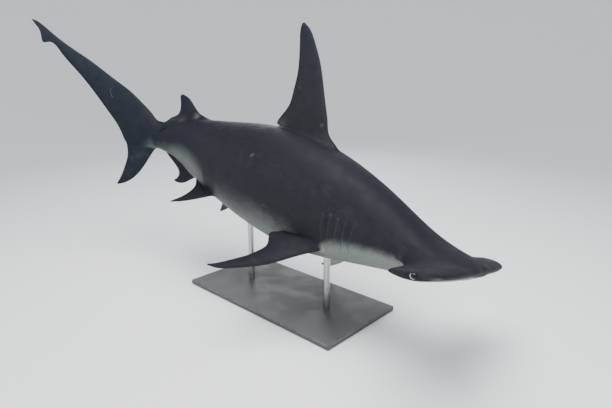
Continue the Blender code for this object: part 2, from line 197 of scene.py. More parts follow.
def swimming_line():
    """Fine table along the middle line: distance back, centre, left axis and up axis.

    Heading and climb turn the forward axis, the centre is their running integral from the anchor, and roll
    turns the left and up axes about it.
    """
    back = np.linspace(LINE_START, TOTAL_LENGTH, LINE_SAMPLES)
    heading = np.radians(spline(TURN_AT, HEADING)(back)[:, 0])
    climb = np.radians(spline(TURN_AT, CLIMB)(back)[:, 0])
    roll = np.radians(spline(ROLL_AT, ROLL)(back))
    forward = np.stack([np.cos(climb) * np.cos(heading), np.cos(climb) * np.sin(heading), np.sin(climb)], 1)
    level = np.stack([-np.sin(heading), np.cos(heading), np.zeros_like(heading)], 1)
    over = np.cross(forward, level)
    left = level * np.cos(roll) + over * np.sin(roll)
    up = over * np.cos(roll) - level * np.sin(roll)
    centre = np.zeros_like(forward)
    centre[1:] = -np.cumsum((forward[1:] + forward[:-1]) / 2 * np.diff(back)[:, None], axis=0)
    centre += np.array(ANCHOR) - centre[np.argmin(abs(back - ANCHOR_AT))]
    return back, np.concatenate([centre, left, up], 1)


LINE_BACK, LINE_TABLE = swimming_line()


def posed(points):
    """Straight-shark points (s, y, z) in their places: the line's centre at s, plus y left and z up of it."""
    flat = np.asarray(points, float).reshape(-1, 3)
    row = np.stack([np.interp(flat[:, 0], LINE_BACK, LINE_TABLE[:, k]) for k in range(9)], 1)
    return row[:, 0:3] + flat[:, 1:2] * row[:, 3:6] + flat[:, 2:3] * row[:, 6:9]


# Skin: the body and the tail's upper lobe
# One tube of flesh from the head's thin front edge to the tail's tip. It is round at the trunk and thins to
# a flat edge at both ends.
BODY_ROWS = np.array([
    # s, half width, top, bottom
    (0.000, 0.060, 0.004, -0.004),
    (0.005, 0.112, 0.014, -0.015),
    (0.018, 0.142, 0.025, -0.026),
    (0.050, 0.160, 0.040, -0.041),
    (0.110, 0.172, 0.058, -0.061),
    (0.180, 0.174, 0.076, -0.080),
    (0.245, 0.170, 0.096, -0.098),
    (0.350, 0.163, 0.134, -0.122),
    (0.525, 0.179, 0.197, -0.170),
    (0.700, 0.204, 0.247, -0.226),
    (0.875, 0.226, 0.284, -0.280),
    (1.050, 0.238, 0.308, -0.312),
    (1.260, 0.240, 0.317, -0.323),
    (1.505, 0.228, 0.304, -0.306),
    (1.750, 0.198, 0.270, -0.266),
    (1.995, 0.158, 0.224, -0.214),
    (2.205, 0.114, 0.174, -0.164),
    (2.380, 0.076, 0.136, -0.114),
    (2.460, 0.060, 0.116, -0.092),
])
TAIL_ROWS = np.array([
    # front edge s, z, rear edge s, z, half thickness
    (2.460, 0.116, 2.460, -0.092, 0.0600),
    (2.511, 0.118, 2.520, -0.080, 0.0440),
    (2.557, 0.166, 2.610, -0.078, 0.0320),
    (2.626, 0.238, 2.700, -0.070, 0.0230),
    (2.690, 0.303, 2.752, -0.055, 0.0175),
    (2.760, 0.362, 2.794, 0.034, 0.0150),
    (2.858, 0.439, 2.872, 0.170, 0.0130),
    (2.975, 0.535, 2.976, 0.332, 0.0110),
    (3.090, 0.618, 3.072, 0.466, 0.0090),
    (3.190, 0.699, 3.164, 0.590, 0.0070),
    (3.232, 0.738, 3.224, 0.650, 0.0055),
    (3.268, 0.770, 3.268, 0.648, 0.0045),
    (3.300, 0.790, 3.278, 0.712, 0.0035),
    (3.325, 0.796, 3.310, 0.770, 0.0020),
])
BODY_FULLNESS = 0.90
TABLE_SAMPLES = 8000
NORMAL_STEP = 1e-4
SIDES = 128
SIDE_STEP = 2 * np.pi / SIDES
RING_SPACING = np.array([
    # ring place, distance to the next ring
    (0.000, 0.0008), (0.020, 0.0035), (0.060, 0.0075), (0.200, 0.0060), (0.225, 0.0038), (0.350, 0.0042),
    (0.400, 0.0090), (0.560, 0.0090), (0.580, 0.0036), (0.800, 0.0036), (0.850, 0.0095), (1.000, 0.0134),
    (2.000, 0.0134), (2.400, 0.0095), (2.700, 0.0120), (3.400, 0.0130), (3.600, 0.0060),
])


def ring_table():
    """Rows of ring place, centre (s, z), top and bottom edge from it, half width and fullness.

    Along the body a ring stands upright at its own s; past the stalk it leans with the tail fin, and its
    place runs on by the distance between the fin sections' middles.
    """
    s, half, top, bottom = BODY_ROWS.T
    none = np.zeros_like(s)
    body = np.column_stack([s, s, none, none, top, none, bottom, half, none + BODY_FULLNESS])
    middle = (TAIL_ROWS[:, 0:2] + TAIL_ROWS[:, 2:4]) / 2
    place = s[-1] + np.cumsum(np.linalg.norm(np.diff(middle, axis=0), axis=1))
    edge = (TAIL_ROWS[1:, 0:2] - TAIL_ROWS[1:, 2:4]) / 2
    tail = np.column_stack([place, middle[1:], edge, -edge, TAIL_ROWS[1:, 4], np.ones(len(place))])
    return np.concatenate([body, tail])


RING_TABLE = ring_table()
RING_SIZES = spline(RING_TABLE[:, 0], RING_TABLE[:, 1:])


def ring_places():
    """Places of the rings, whose spacing follows the table: even steps of the integral of 1 over spacing."""
    fine = np.linspace(0, RING_TABLE[-1, 0], TABLE_SAMPLES)
    rate = 1 / np.interp(fine, RING_SPACING[:, 0], RING_SPACING[:, 1])
    count = np.concatenate([[0], np.cumsum((rate[1:] + rate[:-1]) / 2 * np.diff(fine))])
    return np.interp(np.linspace(0, count[-1], round(count[-1]) + 1), count, fine)


def ring_surface(place, turn):
    """Points of the tube at ring places and turns: cosine across and sine up, each raised to the fullness.

    Turn 0 is the left side, a quarter turn the top, a half turn the right side.
    """
    place, turn = np.broadcast_arrays(place, turn)
    size = RING_SIZES(place).reshape(place.shape + (8,))
    fullness = size[..., 7]
    across = np.sign(np.cos(turn)) * abs(np.cos(turn)) ** fullness
    rise = abs(np.sin(turn)) ** fullness
    top = np.sin(turn) > 0
    s = size[..., 0] + rise * np.where(top, size[..., 2], size[..., 4])
    z = size[..., 1] + rise * np.where(top, size[..., 3], size[..., 5])
    return np.stack([s, size[..., 6] * across, z], -1)


def ring_normal(place, turn):
    """Outward normal of the tube: the cross product of small steps along it and round it."""
    along = ring_surface(place + NORMAL_STEP, turn) - ring_surface(place - NORMAL_STEP, turn)
    around = ring_surface(place, turn + NORMAL_STEP) - ring_surface(place, turn - NORMAL_STEP)
    normal = np.cross(along, around)
    normal /= np.linalg.norm(normal, axis=-1, keepdims=True)
    return normal


# Skin: the fins and the hammer's wings
# Each fin is a thin blade of skin over stiff rays, grown out of the body. Here each is a sleeve pulled out of
# a window in the tube's grid, so that its root runs into the body with no seam.
DORSAL_FIRST = (
    # front edge s, height, rear edge s, height, half thickness
    (1.012, 0.330, 1.420, 0.319, 0.0250),
    (1.050, 0.352, 1.442, 0.327, 0.0220),
    (1.096, 0.423, 1.392, 0.425, 0.0180),
    (1.135, 0.497, 1.376, 0.509, 0.0155),
    (1.190, 0.604, 1.375, 0.625, 0.0125),
    (1.253, 0.728, 1.393, 0.744, 0.0095),
    (1.320, 0.834, 1.413, 0.832, 0.0070),
    (1.376, 0.901, 1.421, 0.888, 0.0045),
    (1.407, 0.921, 1.419, 0.912, 0.0020),
)
DORSAL_SECOND = (
    (2.120, 0.208, 2.262, 0.174, 0.0140),
    (2.142, 0.210, 2.350, 0.125, 0.0120),
    (2.162, 0.213, 2.450, 0.046, 0.0090),
    (2.200, 0.224, 2.385, 0.140, 0.0085),
    (2.250, 0.262, 2.352, 0.206, 0.0070),
    (2.300, 0.305, 2.354, 0.264, 0.0050),
    (2.346, 0.325, 2.363, 0.310, 0.0022),
)
ANAL_FIN = (
    (2.082, 0.213, 2.245, 0.160, 0.0150),
    (2.095, 0.222, 2.345, 0.131, 0.0120),
    (2.112, 0.232, 2.432, 0.100, 0.0090),
    (2.140, 0.252, 2.345, 0.170, 0.0085),
    (2.190, 0.285, 2.282, 0.218, 0.0070),
    (2.250, 0.303, 2.277, 0.258, 0.0050),
    (2.318, 0.298, 2.308, 0.286, 0.0022),
)
CAUDAL_LOWER = (
    (2.548, 0.114, 2.752, 0.086, 0.0155),
    (2.585, 0.167, 2.750, 0.124, 0.0130),
    (2.647, 0.250, 2.764, 0.190, 0.0100),
    (2.719, 0.316, 2.790, 0.256, 0.0075),
    (2.785, 0.349, 2.817, 0.312, 0.0048),
    (2.838, 0.361, 2.842, 0.350, 0.0022),
)
PECTORAL = (
    (0.020, 0.022, 0.286, 0.034, 0.0260),
    (0.030, 0.038, 0.303, 0.052, 0.0225),
    (0.058, 0.086, 0.312, 0.082, 0.0180),
    (0.084, 0.134, 0.264, 0.134, 0.0160),
    (0.122, 0.207, 0.259, 0.207, 0.0135),
    (0.151, 0.253, 0.272, 0.253, 0.0120),
    (0.205, 0.318, 0.304, 0.316, 0.0095),
    (0.268, 0.380, 0.342, 0.378, 0.0070),
    (0.335, 0.430, 0.376, 0.422, 0.0045),
    (0.390, 0.447, 0.397, 0.440, 0.0020),
)
PECTORAL_ROOT = (0.756, 0.172, -0.181)
PELVIC = (
    (0.016, 0.030, 0.215, -0.012, 0.0130),
    (0.024, 0.038, 0.262, -0.034, 0.0110),
    (0.032, 0.047, 0.300, -0.056, 0.0090),
    (0.046, 0.064, 0.232, -0.008, 0.0090),
    (0.070, 0.092, 0.190, 0.055, 0.0080),
    (0.106, 0.134, 0.185, 0.116, 0.0065),
    (0.148, 0.177, 0.196, 0.166, 0.0045),
    (0.209, 0.226, 0.215, 0.216, 0.0022),
)
PELVIC_ROOT = (1.742, 0.100, -0.212)
HAMMER_WING = (
    (0.0045, 0.180, 0.2860, 0.183, 0.0375),
    (0.0060, 0.205, 0.2620, 0.210, 0.0355),
    (0.0100, 0.260, 0.2400, 0.265, 0.0310),
    (0.0180, 0.325, 0.2330, 0.328, 0.0270),
    (0.0300, 0.380, 0.2300, 0.382, 0.0235),
    (0.0460, 0.412, 0.2200, 0.416, 0.0215),
    (0.0680, 0.429, 0.2000, 0.431, 0.0190),
    (0.0920, 0.4365, 0.1700, 0.4370, 0.0140),
)
WING_SLOPE = {1: -0.060, -1: -0.090}
LOBE_FROM = 2.28
LOBE_TO = 2.45
LOBE_LEAN = 0.073
LOBE_ARCH = 0.010
LOBE_TOP = 0.190
LOBE_FOOT = 0.120
STREAMLINE = 2.6
THINNEST = 0.0011


def ease(value, low, high):
    """0 below low, 1 above high, and a smooth S between; low may be the larger."""
    t = np.clip((value - low) / (high - low), 0, 1)
    return t * t * (3 - 2 * t)


def bell(value, middle, width):
    """Bell curve of height 1: e to minus the square of the distance from the middle over the width."""
    return np.exp(-((value - middle) / width) ** 2)


def on_keel(side_of_body, turned):
    """Place function of a fin in the body's middle plane, above it (1) or below it (-1)."""

    def place(s, height, side):
        return np.stack([s, turned * side, side_of_body * height], -1)

    return place


def draped(place):
    """Place function whose free rear lobe leans to the shark's right and arches over the stalk."""

    def leaning(s, height, side):
        share = np.clip((s - LOBE_FROM) / (LOBE_TO - LOBE_FROM), 0, 1) * ease(height, LOBE_TOP, LOBE_FOOT)
        points = place(s, height + LOBE_ARCH * np.sin(np.pi * share), side)
        points[..., 1] -= LOBE_LEAN * ease(share, 0, 1)
        return points

    return leaning


def on_flank(root, droop, hand):
    """Place function of a paired fin, rooted at a point and hanging at the droop angle; hand 1 is left."""
    angle = np.radians(droop)

    def place(back, reach, side):
        lift = hand * side
        out = root[1] + reach * np.cos(angle) + lift * np.sin(angle)
        up = root[2] - reach * np.sin(angle) + lift * np.cos(angle)
        return np.stack([root[0] + back, hand * out, up], -1)

    return place


def on_hammer(hand):
    """Place function of a hammer wing, in a plane that tips down going back."""

    def place(s, reach, side):
        return np.stack([s, hand * reach, WING_SLOPE[hand] * s + hand * side], -1)

    return place


# name, rows, place function, window's first and last ring place, middle column, half height in columns,
# taper of the window's rear, roundness of the section, rows of the blend, rows of the fin
FINS = (
    ("dorsal_first", DORSAL_FIRST, on_keel(1, -1), 0.955, 1.436, 32, 4, 0.3, 0.15, 6, 52),
    ("dorsal_second", DORSAL_SECOND, draped(on_keel(1, -1)), 2.050, 2.276, 32, 4, 0.4, 0.15, 5, 34),
    ("anal_fin", ANAL_FIN, on_keel(-1, 1), 2.045, 2.260, 96, 4, 0.4, 0.15, 5, 28),
    ("caudal_lower", CAUDAL_LOWER, on_keel(-1, 1), 2.495, 2.768, 96, 12, 0.4, 0.30, 6, 30),
    ("pectoral_left", PECTORAL, on_flank(PECTORAL_ROOT, 50.3, 1), 0.742, 1.034, 114, 4, 0.3, 0.15, 6, 40),
    ("pectoral_right", PECTORAL, on_flank(PECTORAL_ROOT, 31.9, -1), 0.742, 1.034, 78, 4, 0.3, 0.15, 6, 40),
    ("pelvic_left", PELVIC, on_flank(PELVIC_ROOT, 72.0, 1), 1.722, 1.965, 107, 3, 0.3, 0.15, 5, 34),
    ("pelvic_right", PELVIC, on_flank(PELVIC_ROOT, 34.9, -1), 1.722, 1.965, 84, 3, 0.3, 0.15, 5, 34),
    ("hammer_left", HAMMER_WING, on_hammer(1), 0.0022, 0.352, 0, 16, 0.62, 0.55, 10, 36),
    ("hammer_right", HAMMER_WING, on_hammer(-1), 0.0022, 0.352, 64, 16, 0.62, 0.55, 10, 36),
)
WING_KINDS = [kind for kind, fin in enumerate(FINS) if fin[0].startswith("hammer")]
CORNER = 4.0
NET_ROUNDS = 600
HANDLE = 0.45
LEAVE_EASE = 0.1
LID_ROWS = 9
LID_HANDLE = 0.35
END_ROUNDS = 30
END_ROWS = 6
ROOT_ROUNDS = 70
ROOT_ROWS = 8
WING_CROWDING = 1.5
EYE_AT = (0.113, 0.4272)
EYE_RADIUS = 0.0162
EYE_FORWARD = 12.0
LID = (
    # distance from the eye's axis, distance out from its centre
    (0.0168, 0.0084), (0.0158, 0.0098), (0.0147, 0.0099),
    (0.0139, 0.0088), (0.0134, 0.0070), (0.0095, 0.0030),
)
GILL_FOOT_Z = -0.112
GILL_HEIGHT = 0.146
GILL_BOW = 0.006
GILLS = (
    # front to rear: s at the slit's foot, how far back its top is
    (0.590, 0.010), (0.635, 0.012), (0.680, 0.014), (0.725, 0.017), (0.766, 0.022),
)
MOUTH_FRONT = 0.232
MOUTH_BACK = 0.108
MOUTH_HALF = 0.112
MOUTH_EASE = 0.20
LED_ROUNDS = 4
LED_FADES = (0.50, 0.58, 0.90, 0.81)
LEAN_ENDS = (-0.4, 1.3)
TAPER_FROM = -0.4


def gill_height(z):
    """Share of the slits' height at each z, and how far their middles bow back there."""
    share = (z - GILL_FOOT_Z) / GILL_HEIGHT
    return share, GILL_BOW * np.sin(np.pi * np.clip(share, 0, 1))


def led_place(place, turn):
    """Ring places moved so that rings run along the mouth's line and the gill slits.

    Under the head a ring moves forward by the height of the mouth's parabola above its corners, in proportion
    to its place, less and less behind it; at the gills it leans and bows as the slits do.
    """
    corner = MOUTH_FRONT + MOUTH_BACK
    share = np.where(place < corner, place / corner, 1 - ease(place, corner, corner + MOUTH_EASE))
    led = place
    for _ in range(LED_ROUNDS):
        y = ring_surface(led, turn)[..., 1]
        reach = np.clip(1 - (y / MOUTH_HALF) ** 2, 0, 1) * (np.sin(turn) < 0)
        led = place - MOUTH_BACK * reach * share
    t, bow = gill_height(ring_surface(led, turn)[..., 2])
    lean = np.interp(led, *np.transpose(GILLS)) * np.clip(t, *LEAN_ENDS) + bow
    return led + lean * ease(led, *LED_FADES[:2]) * ease(led, *LED_FADES[2:])


def window_loop(first, last, half):
    """Grid steps (rings, columns off the middle) of a window's edge, from its front middle round and back."""
    long = np.arange(first + 1, last)
    high = np.full(len(long), half)
    ring = np.concatenate([
        np.full(half + 1, first), long, np.full(2 * half + 1, last), long[::-1], np.full(half, first)
    ])
    column = np.concatenate([
        np.arange(half + 1), high, np.arange(half, -half - 1, -1), -high, np.arange(-half, 0)
    ])
    return ring, column


def window_outline(ring, column, first, last, half, taper):
    """Where a window's edge goes: corners rounded to a superellipse and the rear drawn in by the taper."""
    a = (2 * ring - first - last) / (last - first)
    b = column / half
    shrink = (abs(a) ** CORNER + abs(b) ** CORNER) ** (-1 / CORNER)
    drawn = 1 - taper * ease(a, TAPER_FROM, 1)
    return (first + last) / 2 + a * shrink * (last - first) / 2, b * shrink * half * drawn


def stretched_net(rings, windows):
    """Ring place and turn of each grid point: window edges are pulled to their outlines, and every free point
    settles midway between its four neighbours' shifts, as in a stretched net."""
    index = np.arange(len(rings))
    shift = np.zeros((len(rings), SIDES, 2))
    held = np.zeros((len(rings), SIDES), bool)
    for window in windows:
        spot = (window["ring"], window["column"])
        shift[spot] = window["shift"]
        held[spot] = True
    fixed = shift[held]
    for _ in range(NET_ROUNDS):
        around = np.roll(shift, 1, 1) + np.roll(shift, -1, 1)
        shift[1:-1] = (around[1:-1] + shift[2:] + shift[:-2]) / 4
        shift[held] = fixed
    turn = (np.arange(SIDES) + shift[..., 1]) * SIDE_STEP
    return led_place(np.interp(index[:, None] + shift[..., 0], index, rings), turn), turn


def fin_surface(rows, place, steps, turn, roundness):
    """Fin points at steps from first row to last (0 to 1) and turns round its section.

    Half thickness along the chord c is k (1-c) sqrt(c), peaking at a third, plus a small ellipse that keeps
    the rear edge round. The chord c is half of one minus the turn's cosine.
    """
    table = np.array(rows, float)
    middle = (table[:, 0:2] + table[:, 2:4]) / 2
    reach = np.concatenate([[0], np.cumsum(np.linalg.norm(np.diff(middle, axis=0), axis=1))])
    size = spline(reach, table)(steps * reach[-1])[:, None, :]
    chord = (1 - np.cos(turn)) / 2
    half = (1 - roundness) * STREAMLINE * np.sqrt(chord) * (1 - chord)
    half = half + roundness * 2 * np.sqrt(chord * (1 - chord))
    profile = np.where(np.sin(turn) < 0, -half, half)
    edge = size[..., 0:2] * (1 - chord)[:, None] + size[..., 2:4] * chord[:, None]
    return place(edge[..., 0], edge[..., 1], np.maximum(size[..., 4], THINNEST) * profile)


def cubic_rows(start, near, far, end, rows):
    """Rows of points along cubic curves from start to end, which near and far pull on."""
    t = np.linspace(0, 1, rows + 2)[1:-1, None, None]
    return (1 - t)**3 * start + 3 * t * (1 - t)**2 * near + 3 * t * t * (1 - t) * far + t**3 * end


def root_blend(start, normal, first, second, rows):
    """Rows from a window's edge to a fin: cubic curves that leave along the body and arrive along the fin."""
    gap = first - start
    length = np.linalg.norm(gap, axis=1, keepdims=True)
    leave = gap - normal * (gap * normal).sum(1, keepdims=True)
    leave /= np.linalg.norm(leave, axis=1, keepdims=True) + LEAVE_EASE * length
    arrive = second - first
    arrive /= np.linalg.norm(arrive, axis=1, keepdims=True)
    return cubic_rows(start, start + leave * length * HANDLE, first - arrive * length * HANDLE, first, rows)


def eye_axes(hand):
    """Centre of an eyeball, its axis out of the head, and its disc's axes towards the front and the top."""
    centre = np.array([EYE_AT[0], hand * EYE_AT[1], WING_SLOPE[hand] * EYE_AT[0]])
    turn = np.radians(EYE_FORWARD)
    axis = np.array([-np.sin(turn), hand * np.cos(turn), 0.0])
    front = np.array([-np.cos(turn), -hand * np.sin(turn), 0.0])
    return centre, axis, front, np.cross(front, axis) * hand


def eye_opening(last, before, hand):
    """Rows that close a wing's blunt end round the eye.

    The last section bends over, by cubic curves, into the outer ring of the lid; the lid's rings follow its
    profile carried round the eye's axis, the last ones hidden inside the eyeball.
    """
    centre, axis, front, top = eye_axes(hand)
    turn = np.linspace(0, 2 * np.pi, len(last), endpoint=False)[:, None]
    ray = np.cos(turn) * front + hand * np.sin(turn) * top
    rings = [centre + wide * ray + deep * axis for wide, deep in LID]
    pull = np.linalg.norm(last - rings[0], axis=1, keepdims=True) * LID_HANDLE
    leave = (last - before) / np.linalg.norm(last - before, axis=1, keepdims=True)
    over = cubic_rows(last, last + leave * pull, rings[0] + ray * pull, rings[0], LID_ROWS)
    return np.concatenate([over, rings])


def relaxed(sleeve, first, last, rounds):
    """Sleeve with rows first to last evened out: each point moves halfway to its four neighbours' mean."""
    sleeve = sleeve.copy()
    for _ in range(rounds):
        around = (np.roll(sleeve, 1, 1) + np.roll(sleeve, -1, 1))[first:last]
        mean = (around + sleeve[first - 1:last - 1] + sleeve[first + 1:last + 1]) / 4
        sleeve[first:last] = (sleeve[first:last] + mean) / 2
    return sleeve


def zipper(loop):
    """Faces that close a flat loop by joining each point to its opposite across the loop's long axis."""
    count = len(loop)
    k = np.arange(1, count // 2 - 1)
    quads = np.stack([loop[k], loop[k + 1], loop[count - k - 1], loop[count - k]], 1).tolist()
    ends = [[loop[0], loop[1], loop[-1]], [loop[count // 2], loop[count // 2 + 1], loop[count // 2 - 1]]]
    return quads + ends


def fin_sleeve(fin, start, normal, turn):
    """Rows of points outwards from a window's edge: the root's blend, then the blade.

    A hammer wing closes round its eye, and is evened out at both ends.
    """
    name, rows, place = fin[:3]
    roundness, blend, steps = fin[8:]
    step = np.linspace(0, 1, steps)
    if name.startswith("hammer"):
        step = 1 - (1 - step) ** WING_CROWDING
    blade = fin_surface(rows, place, step, turn, roundness)
    sleeve = np.concatenate([start[None], root_blend(start, normal, blade[0], blade[1], blend), blade])
    if name.startswith("hammer"):
        hand = 1 if name.endswith("left") else -1
        sleeve = np.concatenate([sleeve, eye_opening(blade[-1], blade[-2], hand)])
        sleeve = relaxed(sleeve, 1 + blend + steps - END_ROWS, len(sleeve) - len(LID), END_ROUNDS)
        sleeve = relaxed(sleeve, 1, blend + ROOT_ROWS, ROOT_ROUNDS)
    return sleeve[1:]


def skin_mesh():
    """Points, faces and per-point notes of the whole skin, for the shark lying straight.

    The notes are reach along a fin, kind of fin (-1 on the body), chord back from its front edge, side of its
    section, and root, which is 1 on the body and 0 past a fin's blend.
    """
    rings = ring_places()
    windows = []
    for fin in FINS:
        first, last = [int(np.argmin(abs(rings - place))) for place in fin[3:5]]
        middle, half, taper = fin[5:8]
        ring, column = window_loop(first, last, half)
        to_ring, to_column = window_outline(ring, column, first, last, half, taper)
        windows.append({
            "ring": ring, "column": (middle + column) % SIDES,
            "shift": np.stack([to_ring - ring, to_column - column], 1),
            "box": (first, last, middle - half, middle + half),
        })
    place_of, turn_of = stretched_net(rings, windows)
    body = ring_surface(place_of, turn_of)
    open_cell = np.zeros((len(rings) - 1, SIDES), bool)
    for window in windows:
        first, last, low, high = window["box"]
        open_cell[first:last, np.arange(low, high) % SIDES] = True
    total = body[..., 0].size
    points = [body.reshape(-1, 3)]
    notes = [np.tile([0.0, -1.0, 0.0, 0.0, 1.0], (total, 1))]
    faces = grid_faces(len(rings), SIDES)[~open_cell.ravel()].tolist()
    faces += zipper(np.arange(SIDES))
    faces += zipper((len(rings) - 1) * SIDES + np.roll(np.arange(SIDES), -SIDES // 4))
    for kind, (fin, window) in enumerate(zip(FINS, windows)):
        spot = (window["ring"], window["column"])
        edge = window["ring"] * SIDES + window["column"]
        count = len(edge)
        turn = np.linspace(0, 2 * np.pi, count, endpoint=False)
        sleeve = fin_sleeve(fin, body[spot], ring_normal(place_of[spot], turn_of[spot]), turn)
        rows = len(sleeve)
        join = np.column_stack([edge, total + np.arange(count)])
        faces += np.column_stack([join, np.roll(join, -1, 0)[:, ::-1]]).tolist()
        faces += grid_faces(rows, count, total).tolist()
        faces += zipper(total + (rows - 1) * count + np.arange(count))
        total += rows * count
        points.append(sleeve.reshape(-1, 3))
        blend, steps = fin[9:]
        notes.append(np.column_stack([
            np.repeat(np.clip((np.arange(rows) - blend) / steps, 0, 1), count), np.full(rows * count, kind),
            np.tile((1 - np.cos(turn)) / 2, rows), np.tile(np.sin(turn), rows),
            np.repeat(1 - np.clip(np.arange(1, rows + 1) / (blend + 1), 0, 1), count),
        ]))
    used = np.unique(np.concatenate(faces))
    renumber = np.full(total, -1)
    renumber[used] = np.arange(len(used))
    faces = [renumber[face].tolist() for face in faces]
    names = ("reach", "kind", "chord", "side", "root")
    return np.concatenate(points)[used], faces, dict(zip(names, np.concatenate(notes)[used].T))


# Skin: evening out
# Living skin has no sharp crease where a fin or a wing leaves the body. Here the mesh's tight corners are
# eased, and the hammer's front edge runs smoothly from the snout into the wings.
CREASES = (
    # s, distance to the side, z, radius
    (0.010, 0.095, 0.000, 0.040), (1.034, 0.190, -0.203, 0.028), (2.000, 0.072, -0.182, 0.050),
    (1.970, 0.080, -0.190, 0.030), (2.300, 0.010, 0.135, 0.030), (2.185, 0.000, 0.190, 0.020),
)
CREASE_ROUNDS = 24
LEAST_PULL = 0.02
EDGE_AXIS = 0.030
EDGE_END = 0.28
EDGE_TURN = 1.45
EDGE_SPREAD = 0.022
TURN_SPREAD = 0.09
EDGE_FADES = (0.012, 0.045, 0.22, 0.15)
TURN_FADE = (1.40, 1.0)


def evened(points, faces):
    """Points near the listed creases drawn, round after round, halfway to the mean of their neighbours."""
    pairs = np.concatenate([np.column_stack([face, np.roll(face, -1)]) for face in faces])
    side = np.column_stack([points[:, 0], abs(points[:, 1]), points[:, 2]])
    pull = np.zeros(len(points))
    for *spot, radius in CREASES:
        pull = np.maximum(pull, bell(np.linalg.norm(side - spot, axis=1), 0, radius))
    pull[pull < LEAST_PULL] = 0.0
    near = pull[pairs[:, 0]] > 0
    pairs = np.concatenate([pairs[near], pairs[pull[pairs[:, 1]] > 0][:, ::-1]])
    count = np.maximum(np.bincount(pairs[:, 0], minlength=len(points)), 1)[:, None]
    points = points.copy()
    for _ in range(CREASE_ROUNDS):
        total = [np.bincount(pairs[:, 0], points[pairs[:, 1], axis], len(points)) for axis in range(3)]
        points += (np.stack(total, 1) / count - points) * (pull / 2)[:, None]
    return points


def fitted_edge(points):
    """Points of the hammer's front edge where the wings leave the body, their radius fitted smooth.

    Each point's radius from a line just behind the edge becomes the value of a straight line fitted, along
    the edge, through the radii of the points round it, weighted by bells in distance and in turn.
    """
    points = points.copy()
    turn_of = np.arctan2(points[:, 2], EDGE_AXIS - points[:, 0])
    for hand in (1, -1):
        along = hand * points[:, 1]
        spot = (along > 0) & (along < EDGE_END) & (points[:, 0] < EDGE_AXIS) & (abs(turn_of) < EDGE_TURN)
        radius = np.hypot(points[spot, 2], EDGE_AXIS - points[spot, 0])
        along, turn = along[spot], turn_of[spot]
        apart = along[None] - along[:, None]
        weight = bell(apart, 0, EDGE_SPREAD) * bell(turn[None] - turn[:, None], 0, TURN_SPREAD)
        total, first, second = [(weight * apart**power).sum(1) for power in range(3)]
        level, tilt = weight @ radius, (weight * apart) @ radius
        fitted = (second * level - first * tilt) / (total * second - first**2)
        share = ease(along, *EDGE_FADES[:2]) * ease(along, *EDGE_FADES[2:]) * ease(abs(turn), *TURN_FADE)
        radius += (fitted - radius) * share
        points[spot, 0] = EDGE_AXIS - radius * np.cos(turn)
        points[spot, 2] = radius * np.sin(turn)
    return points


# Skin: folds and openings
# What stands out of or lies in the smooth body: gill slits, mouth, nostrils, the notch in the head's front
# edge and the pit before the tail. Each moves the surface along its normal.
GILL_GAP = 0.045
GILL_PAST = 0.5
GILL_TOP = (0.034, 0.014)
GILL_TOP_FADE = (0.010, -0.006)
LAST_GILLS = (3.2, 3.8)
GILL_FOOT = (-0.120, -0.104)
GILL_SIDE = (0.10, 0.14)
GILL_FADES = (0.55, 0.57, 0.83, 0.81)
GILL_FOLDS = (
    # height, middle behind the slit, width
    (0.0006, -0.0060, 0.0070), (-0.0022, 0.0012, 0.0030),
)
UNDERSIDE = (-0.15, -0.5)
MOUTH_END = (0.42, 0.38)
MOUTH_CORNERS = (0.010, 0.006)
MOUTH_FOLDS = (
    # height, middle behind the mouth's line, width
    (0.0045, 0.024, 0.019), (0.0016, -0.009, 0.005), (-0.0065, 0.0, 0.0034),
)
FURROW_DEPTH = 0.0030
FURROW_AT = (0.345, 0.118)
FURROW_HALF = (0.004, 0.012)
FURROW_SLANT = 0.9
NOSTRIL_AT = 0.398
NOSTRIL_FOLDS = (
    # height, middle outwards from the nostril, width, middle above the wing's plane, height of the spot
    (0.0022, 0.002, 0.016, -0.0105, 0.0040), (-0.0065, 0.0, 0.0120, -0.0035, 0.0034),
)
WING_FRONT = (0.085, 0.070)
GROOVE = (0.0012, -0.0030, 0.0030)
GROOVE_FADES = (0.27, 0.36, 0.41, 0.39)
NOTCH_DEPTH = 0.0050
NOTCH_HALF = 0.034
NOTCH_BACK = 0.06
PIT = (0.0065, 2.462, 0.013)
PIT_HIGH = (0.070, 0.088)
SIDE_LINE = (0.0012, 0.012)
SIDE_LINE_HIGH = 0.10
SIDE_LINE_RISE = (0.3, 1.0)
SIDE_LINE_FADES = (0.9, 1.1, 2.3, 2.0)


def between(value, fades):
    """1 in the middle of a range: an S rise over the first pair of fades times an S fall over the second."""
    return ease(value, *fades[:2]) * ease(value, *fades[2:])


def folds(distance, profile):
    """Sum of bells across a fold, each with its height, middle and width."""
    return sum(height * bell(distance, middle, width) for height, middle, width in profile)


def gill_phase(s, z):
    """Counts the slits going back: 0 on the first, 4 on the last, by distance between, held past the ends."""
    t, bow = gill_height(z)
    lines = [foot + lean * t + bow for foot, lean in GILLS]
    phase = np.clip((s - lines[0]) / GILL_GAP, -GILL_PAST, 0)
    for line, after in zip(lines[:-1], lines[1:]):
        phase = phase + np.clip((s - line) / (after - line), 0, 1)
    return phase + np.clip((s - lines[-1]) / GILL_GAP, 0, GILL_PAST)


def gill_fade(s, y, z, phase):
    """1 along the slits, fading at their feet and tops; the last slit is the shortest."""
    top = GILL_TOP[0] + (GILL_TOP[1] - GILL_TOP[0]) * ease(phase, *LAST_GILLS)
    high = ease(z, *GILL_FOOT) * ease(z, top + GILL_TOP_FADE[0], top + GILL_TOP_FADE[1])
    return high * ease(abs(y), *GILL_SIDE) * between(s, GILL_FADES)


def mouth_gap(s, y):
    """Distance behind the mouth's line, a parabola whose corners lie furthest back."""
    bend = y / MOUTH_HALF
    slope = 2 * MOUTH_BACK * bend / MOUTH_HALF
    return (s - MOUTH_FRONT - MOUTH_BACK * bend * bend) / np.sqrt(1 + slope * slope)


